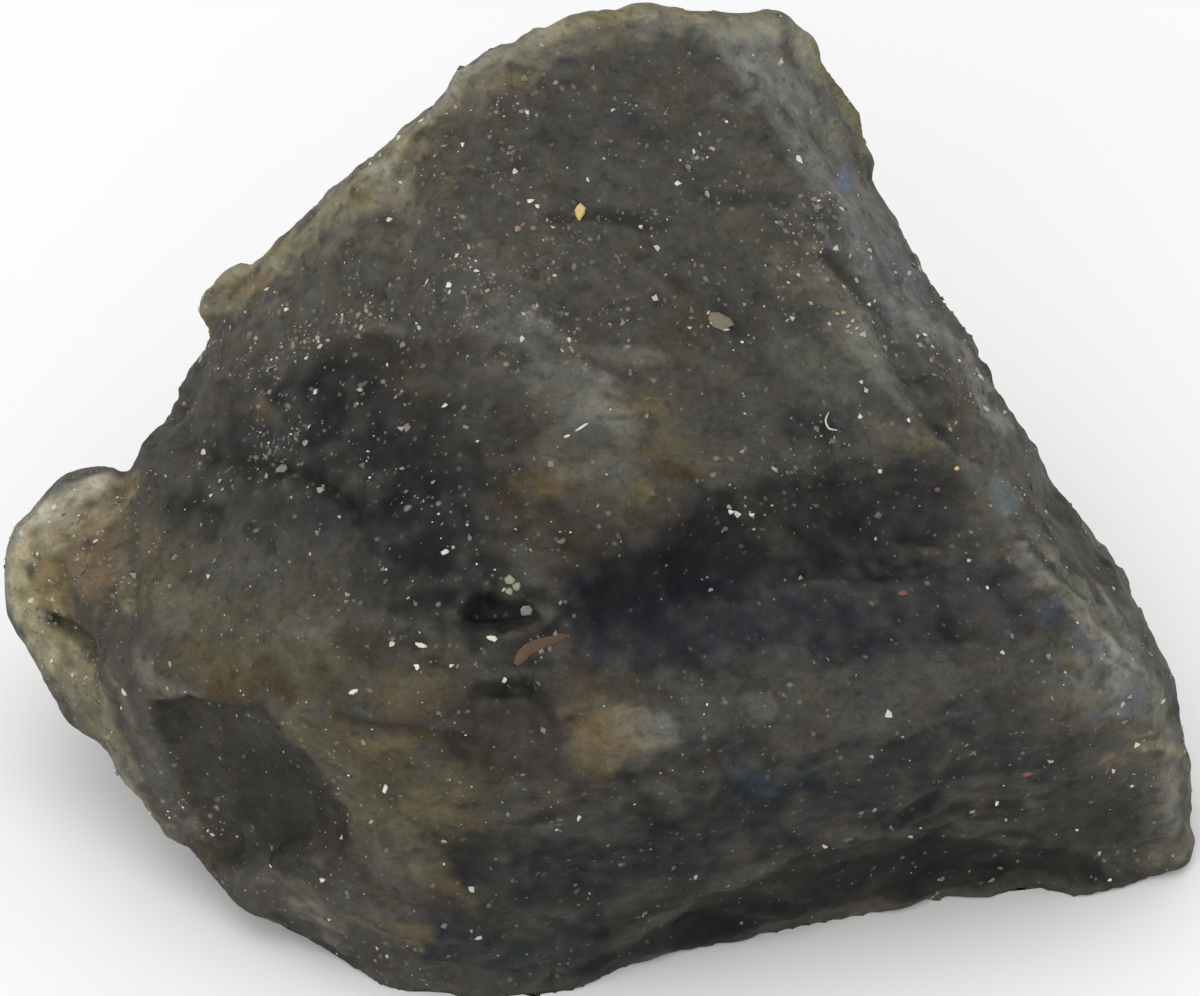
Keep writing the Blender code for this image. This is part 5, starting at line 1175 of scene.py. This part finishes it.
class Bench:
    """A tree of nodes being wired."""

    def __init__(self, tree):
        self.tree = tree
        tree.nodes.clear()

    def node(self, kind, settings=None, inputs=None, out=0):
        """Adds a node, sets it, fills its sockets, and gives one of its outputs."""
        made = self.tree.nodes.new(kind)
        for name, value in (settings or {}).items():
            if name == "stops":
                for stop, (at, colour) in zip(made.color_ramp.elements, value):
                    stop.position, stop.color = at, colour
                for at, colour in value[2:]:
                    made.color_ramp.elements.new(at).color = colour
            else:
                setattr(made, name, value)
        for name, value in (inputs or {}).items():
            for item in value if isinstance(value, list) else [value]:
                self.fill(self.socket(made.inputs, name), item)
        return Wire(self, self.socket(made.outputs, out)) if len(made.outputs) else made

    def socket(self, sockets, name):
        if isinstance(name, int):
            return sockets[name]
        named = [s for s in sockets if s.identifier == name] or [s for s in sockets if s.name == name and s.enabled]
        return named[0]

    def fill(self, socket, value):
        if isinstance(value, Wire):
            self.tree.links.new(value.socket, socket)
        else:
            socket.default_value = value

    def other(self, wire, name):
        """Another output of the node that a wire comes from."""
        return Wire(self, self.socket(wire.socket.node.outputs, name))

    def sum(self, operation, a, b):
        return self.node("ShaderNodeMath", {"operation": operation}, {0: a, 1: b})

    def clamp(self, value, low=0.0, high=1.0):
        return self.node("ShaderNodeClamp", {}, {"Value": value, "Min": low, "Max": high})

    def step(self, value, low, high):
        return self.node("ShaderNodeMapRange", {"interpolation_type": "SMOOTHSTEP"},
                         {"Value": value, "From Min": low, "From Max": high})

    def blend(self, share, a, b, how="MIX"):
        return self.node("ShaderNodeMix", {"data_type": "RGBA", "blend_type": how},
                         {"Factor_Float": share, "A_Color": a, "B_Color": b}, "Result_Color")

    def vector(self, operation, a, b):
        return self.node("ShaderNodeVectorMath", {"operation": operation}, {0: a, 1: b})

    def scaled(self, wire, share):
        return self.node("ShaderNodeVectorMath", {"operation": "SCALE"}, {0: wire, "Scale": share})

    def seeds(self, at, apart, channel):
        """How far the nearest of a set of scattered seeds lies, and a number that each seed has for its own."""
        away = self.node("ShaderNodeTexVoronoi", {"feature": "F1"}, {"Vector": at, "Scale": 1 / (apart * MM)},
                         "Distance")
        return away, self.node("ShaderNodeSeparateColor", {}, {"Color": self.other(away, "Color")}, channel)

    def surface(self, **sockets):
        """A Principled surface, wired to the material's output."""
        named = {name.replace("_", " "): value for name, value in sockets.items()}
        made = self.node("ShaderNodeBsdfPrincipled", {}, named)
        self.node("ShaderNodeOutputMaterial", {}, {"Surface": made})

    def noise(self, at, size, detail=2.0, rough=0.5, out="Fac"):
        """Noise with lumps of about that size, in millimetres, over a place in metres."""
        return self.node("ShaderNodeTexNoise", {}, {"Vector": at, "Scale": 1 / (size * MM), "Detail": detail,
                                                    "Roughness": rough}, out)


def finish(name):
    made = bpy.data.materials.new(name)
    made.use_nodes = True
    return made, Bench(made.node_tree)


def shade(red, green, blue):
    return (*linear((red, green, blue)), 1.0)


def labradorite_finish():
    """Clouded, faintly see-through feldspar: stained colour with painted shadow, shade and edge glow in it, soft
    mottles, fine grain and tiny pale crystals.
    """
    made, bench = finish("labradorite")
    at = bench.node("ShaderNodeTexCoord", out="Object")
    tint = bench.node("ShaderNodeAttribute", {"attribute_name": "tint"}, out="Color")

    drift = bench.noise(at, 1.6, 2.0, out="Color")
    drift = bench.vector("SUBTRACT", drift, (0.5, 0.5, 0.5))
    warped = bench.vector("ADD", at, bench.scaled(drift, 0.9 * MM))

    broad = bench.noise(warped, 1.9, 3.0, 0.55)
    mottle = bench.noise(warped, 0.62, 3.0, 0.6)
    grain = bench.noise(at, 0.16, 2.0, 0.6)
    light = 1.0 + 0.8 * (broad - 0.5) + 1.1 * (mottle - 0.5) + 0.5 * (grain - 0.5)
    light = bench.clamp(light, 0.35, 1.9)
    lit = bench.scaled(tint, light)

    elsewhere = bench.vector("ADD", warped, (0.031, 0.017, 0.009))
    for place, size, hue in ((warped, 1.3, WARM_HUE), (elsewhere, 1.5, COOL_HUE)):
        here = bench.step(bench.noise(place, size, 3.0, 0.6), 0.46, 0.70)
        lit = bench.blend(here * HUE_SHIFT, lit, bench.blend(1.0, lit, hue, "MULTIPLY"))

    along = bench.node("ShaderNodeMapping", {"vector_type": "POINT"},
                       {"Vector": warped, "Rotation": (0.25, -0.10, 0.30), "Scale": (0.6, 0.85, 1.7)})
    for size, low, high, seen in DASHES:
        dash = bench.step(bench.noise(along, size, 2.0, 0.5), low, high)
        lit = bench.blend(dash * seen, lit, shade(*DASH_COLOUR))

    crystals, which = bench.seeds(at, CRYSTALS_APART_MM, "Red")
    fleck = (1 - bench.step(crystals, 0.08, 0.17)) * bench.step(which, 0.72, 0.95)
    lit = bench.blend(fleck * 0.55, lit, shade(*CRYSTAL_COLOUR))

    thick = bench.node("ShaderNodeAttribute", {"attribute_name": "grit"}, out="Fac")
    for apart, low, high, seen, tone in DUST:
        dust, pick = bench.seeds(warped, apart, "Green")
        here = bench.step(pick + thick * 0.085, 0.80, 1.15)
        lit = bench.blend((1 - bench.step(dust, low, high)) * here * seen, lit, shade(*tone))

    height = 0.5 * bench.noise(at, 0.45, 3.0, 0.6) + 0.35 * bench.noise(at, 0.14, 2.0, 0.5)
    bump = bench.node("ShaderNodeBump", {}, {"Strength": 0.6, "Distance": 0.09 * MM, "Height": height})
    rough = 0.60 + 0.25 * (bench.noise(at, 0.8, 2.0) - 0.5)
    bench.surface(Base_Color=lit, Roughness=rough, Specular_IOR_Level=0.12, Normal=bump)
    return made


def grit_finish():
    """Pale dust and mineral flakes, each of its own tone."""
    made, bench = finish("grit")
    at = bench.node("ShaderNodeTexCoord", out="Object")
    tone = bench.node("ShaderNodeAttribute", {"attribute_name": "tone"}, out="Color")
    light = 0.86 + 0.4 * (bench.noise(at, 0.12, 2.0) - 0.35)
    lit = bench.scaled(tone, light)
    rough = 0.5 + 0.3 * (bench.noise(at, 0.2, 2.0) - 0.5)
    bench.surface(Base_Color=lit, Roughness=rough, Specular_IOR_Level=0.4)
    return made


# ---------------------------------------------------------------- the grit


def grit_tree(material):
    """Scatters thin flakes over a surface, as thickly as its grit attribute says."""
    tree = bpy.data.node_groups.new("scattered grit", "GeometryNodeTree")
    face = tree.interface
    face.new_socket("Geometry", in_out="INPUT", socket_type="NodeSocketGeometry")
    sizes = {}
    for name, kind in (("Smallest", "NodeSocketFloat"), ("Largest", "NodeSocketFloat"),
                       ("Rarity of large flakes", "NodeSocketFloat"), ("Seed", "NodeSocketInt")):
        sizes[name] = face.new_socket(name, in_out="INPUT", socket_type=kind).identifier
    face.new_socket("Geometry", in_out="OUTPUT", socket_type="NodeSocketGeometry")

    bench = Bench(tree)
    given = bench.node("NodeGroupInput", out="Geometry")
    smallest, largest = bench.other(given, "Smallest"), bench.other(given, "Largest")
    rarity, seed = bench.other(given, "Rarity of large flakes"), bench.other(given, "Seed")

    thickness = bench.node("GeometryNodeInputNamedAttribute", {"data_type": "FLOAT"}, {"Name": "grit"}, "Attribute")
    spots = bench.node("GeometryNodeDistributePointsOnFaces", {"distribute_method": "RANDOM"},
                       {"Mesh": given, "Density": thickness * 1e6, "Seed": seed}, "Points")

    def chance(step, low=0.0, high=1.0):
        return bench.node("FunctionNodeRandomValue", {"data_type": "FLOAT"},
                          {"Min_001": low, "Max_001": high, "Seed": seed + step}, "Value_001")

    kinds = []
    for number in range(FLAKE_KINDS):
        ball = bench.node("GeometryNodeMeshIcoSphere", {}, {"Radius": 0.5, "Subdivisions": 1}, "Mesh")
        push = bench.node("FunctionNodeRandomValue", {"data_type": "FLOAT_VECTOR"},
                          {"Min": (-FLAKE_UNEVEN,) * 3, "Max": (FLAKE_UNEVEN,) * 3, "Seed": 5 + number}, "Value")
        kinds.append(bench.node("GeometryNodeSetPosition", {}, {"Geometry": ball, "Offset": push}))
    shapes = bench.node("GeometryNodeGeometryToInstance", {}, {"Geometry": kinds})

    lean = bench.node("FunctionNodeRandomValue", {"data_type": "FLOAT_VECTOR"},
                      {"Min": (-FLAKE_LEAN, -FLAKE_LEAN, 0.0), "Max": (FLAKE_LEAN, FLAKE_LEAN, math.tau),
                       "Seed": seed + 1}, "Value")
    lean = bench.node("FunctionNodeEulerToRotation", {}, {"Euler": lean})
    turned = bench.node("FunctionNodeRotateRotation", {"rotation_space": "LOCAL"},
                        {"Rotation": bench.other(spots, "Rotation"), "Rotate By": lean})
    size = smallest + (largest - smallest) * chance(2) ** rarity
    scale = bench.node("ShaderNodeCombineXYZ", {}, {"X": size, "Y": size * chance(3, 0.38, 0.9),
                                                    "Z": size * chance(4, 0.25, 0.55)})
    flakes = bench.node("GeometryNodeInstanceOnPoints", {}, {"Points": spots, "Instance": shapes,
                                                             "Pick Instance": True, "Rotation": turned,
                                                             "Scale": scale}, "Instances")
    stops = [(at, shade(*tone)) for at, tone in GRIT_TONES]
    tone = bench.node("ShaderNodeValToRGB", {"stops": stops}, {"Fac": chance(5)}, "Color")
    flakes = bench.node("GeometryNodeStoreNamedAttribute", {"data_type": "FLOAT_COLOR", "domain": "INSTANCE"},
                        {"Geometry": flakes, "Name": "tone", "Value": tone})
    flakes = bench.node("GeometryNodeRealizeInstances", {}, {"Geometry": flakes})
    flakes = bench.node("GeometryNodeSetMaterial", {}, {"Geometry": flakes, "Material": material})
    bench.node("NodeGroupOutput", {}, {"Geometry": flakes})
    return tree, sizes


def scattered_grit(stone, material):
    tree, sizes = grit_tree(material)
    grit = in_scene("scattered_grit", stone.data.copy())
    scatter = grit.modifiers.new("scatter", "NODES")
    scatter.node_group = tree
    scatter[sizes["Smallest"]] = FLAKE_SMALLEST_MM * MM
    scatter[sizes["Largest"]] = FLAKE_LARGEST_MM * MM
    scatter[sizes["Rarity of large flakes"]] = FLAKE_RARITY
    scatter[sizes["Seed"]] = FLAKE_SEED
    return settle(grit)


def surface_of(stone):
    """Gives a function from a point near the stone to its nearest place on the skin, and the way out there."""
    mesh = stone.data
    tree = BVHTree.FromPolygons([v.co / MM for v in mesh.vertices], [tuple(p.vertices) for p in mesh.polygons])

    def rest(place):
        where, out, _, _ = tree.find_nearest(Vector(place))
        return where, out
    return rest


def add_shell(bm, tones, rings, colour):
    """Closes a stack of rings of points into a little solid of one colour."""
    made = [[bm.verts.new(p * MM) for p in ring] for ring in rings]
    for low, high in zip(made[:-1], made[1:]):
        for i in range(len(low)):
            j = (i + 1) % len(low)
            bm.faces.new((low[i], low[j], high[j], high[i]))
    bm.faces.new(list(reversed(made[0])))
    bm.faces.new(made[-1])
    tones.extend([colour] * sum(len(ring) for ring in made))


def single_grains(stone, material):
    """The flakes, the rust-coloured splinter and the white thread that can be told apart."""
    rest = surface_of(stone)
    bm, tones = bmesh.new(), []
    rng = np.random.default_rng(5)
    for name, length, width, thickness, turn, place in GRAINS:
        centre, out = rest(place)
        side = Vector((1, 0, 0)) - out * out.x if abs(out.x) < 0.9 else out.orthogonal()
        side.normalize()
        side = Matrix.Rotation(math.radians(turn), 3, out) @ side
        over = out.cross(side)
        corners = [(math.tau * (i + rng.uniform(-0.3, 0.3)) / GRAIN_SIDES, rng.uniform(0.78, 1.12))
                   for i in range(GRAIN_SIDES)]
        rings = []
        for height, share in GRAIN_RINGS:
            rings.append([centre + out * height * thickness + side * (math.cos(a) * r * share * length / 2)
                          + over * (math.sin(a) * r * share * width / 2) for a, r in corners])
        add_shell(bm, tones, rings, shade(*GRAIN_COLOURS[name]))
    for name, half_wide, high, sides, line in STRANDS:
        along_it = even_line(line, STRAND_POINTS)
        rings = []
        for i, place in enumerate(along_it):
            centre, out = rest(place)
            ahead = along_it[min(i + 1, len(along_it) - 1)] - along_it[max(i - 1, 0)]
            over = out.cross(ahead).normalized()
            taper = 0.25 + 0.75 * math.sin(math.pi * (i + 0.5) / len(along_it)) ** 0.7
            taper *= 1.0 + 0.25 * noise.noise(Vector((i * 0.9, half_wide * 40, 2.0)))
            rings.append([centre + out * (0.25 * high + math.sin(a) * high * 0.5 * taper)
                          + over * math.cos(a) * half_wide * taper
                          for a in (math.tau * k / sides for k in range(sides))])
        add_shell(bm, tones, rings, shade(*GRAIN_COLOURS[name]))
    bmesh.ops.recalc_face_normals(bm, faces=bm.faces[:])
    mesh = bpy.data.meshes.new("single_grains")
    bm.to_mesh(mesh)
    bm.free()
    tone = mesh.color_attributes.new(name="tone", type="FLOAT_COLOR", domain="POINT")
    tone.data.foreach_set("color", np.array(tones, np.float32).ravel())
    mesh.materials.append(material)
    return in_scene("single_grains", mesh)


def even_line(line, count):
    """A smooth line through the given points, as that many points."""
    line = [Vector(p) for p in line]
    padded = [2 * line[0] - line[1], *line, 2 * line[-1] - line[-2]]
    made = []
    for i in range(count):
        t = i / (count - 1) * (len(line) - 1)
        k = min(int(t), len(line) - 2)
        t -= k
        a, b, c, d = padded[k:k + 4]
        made.append(0.5 * (2 * b + (c - a) * t + (2 * a - 5 * b + 4 * c - d) * t ** 2
                           + (3 * b - a - 3 * c + d) * t ** 3))
    return made


# ---------------------------------------------------------------- the studio

FLOOR_REACH_M = 1.5
FLOOR_GREY = 0.91
SKY_STRENGTH = 0.76
# Each lamp: name, width in metres, watts and place in metres.
LAMPS = [
    ("overhead softbox", 0.45, 0.80, (-0.06, -0.05, 0.50)),
    ("front fill", 0.50, 1.00, (-0.14, -0.50, 0.24)),
]
CAMERA_UP = math.radians(40.0)
CAMERA_AWAY_M = 0.300
AIM_MM = (0.02, 0.14, 12.5)
SENSOR_MM = 36.0
VIEW_WIDTH_MM = 50.42       # as wide as the view is where it is aimed


def pale_floor():
    mesh = bpy.data.meshes.new("floor")
    corners = [(-1, -1), (1, -1), (1, 1), (-1, 1)]
    mesh.from_pydata([(x * FLOOR_REACH_M, y * FLOOR_REACH_M, 0) for x, y in corners], [], [(0, 1, 2, 3)])
    floor = in_scene("floor", mesh)
    made, bench = finish("pale floor")
    bench.surface(Base_Color=(FLOOR_GREY, FLOOR_GREY, FLOOR_GREY, 1.0), Roughness=0.9, Specular_IOR_Level=0.1)
    mesh.materials.append(made)


def soft_light():
    world = bpy.data.worlds.new("soft studio")
    world.use_nodes = True
    bench = Bench(world.node_tree)
    sky = bench.node("ShaderNodeBackground", {}, {"Color": (1.0, 1.0, 1.0, 1.0), "Strength": SKY_STRENGTH})
    bench.node("ShaderNodeOutputWorld", {}, {"Surface": sky})
    bpy.context.scene.world = world
    for name, size, energy, place in LAMPS:
        lamp = bpy.data.lights.new(name, "AREA")
        lamp.shape, lamp.size, lamp.energy = "DISK", size, energy
        obj = bpy.data.objects.new(name, lamp)
        obj.location = place
        obj.rotation_euler = (-obj.location).to_track_quat("-Z", "Y").to_euler()
        bpy.context.scene.collection.objects.link(obj)


def camera():
    """Looks down at the stone's long side."""
    lens = bpy.data.cameras.new("camera")
    lens.sensor_fit, lens.sensor_width = "HORIZONTAL", SENSOR_MM
    lens.lens = SENSOR_MM * CAMERA_AWAY_M / (VIEW_WIDTH_MM * MM)
    lens.clip_start, lens.clip_end = 0.02, 10.0
    obj = bpy.data.objects.new("camera", lens)
    back = Vector((0, -math.cos(CAMERA_UP), math.sin(CAMERA_UP)))
    obj.location = Vector(AIM_MM) * MM + back * CAMERA_AWAY_M
    obj.rotation_euler = (math.pi / 2 - CAMERA_UP, 0, 0)
    bpy.context.scene.collection.objects.link(obj)
    bpy.context.scene.camera = obj


def dress():
    bpy.context.scene.view_settings.view_transform = "Standard"
    camera()
    soft_light()
    pale_floor()
    stone = stone_shape(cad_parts[NODE])
    colour_stone(stone)
    stone.data.materials.clear()
    stone.data.materials.append(labradorite_finish())
    dust = grit_finish()
    pieces = [stone, scattered_grit(stone, dust), single_grains(stone, dust)]
    for piece in pieces:
        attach(piece, BODY)
    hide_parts(NODE)


dress()
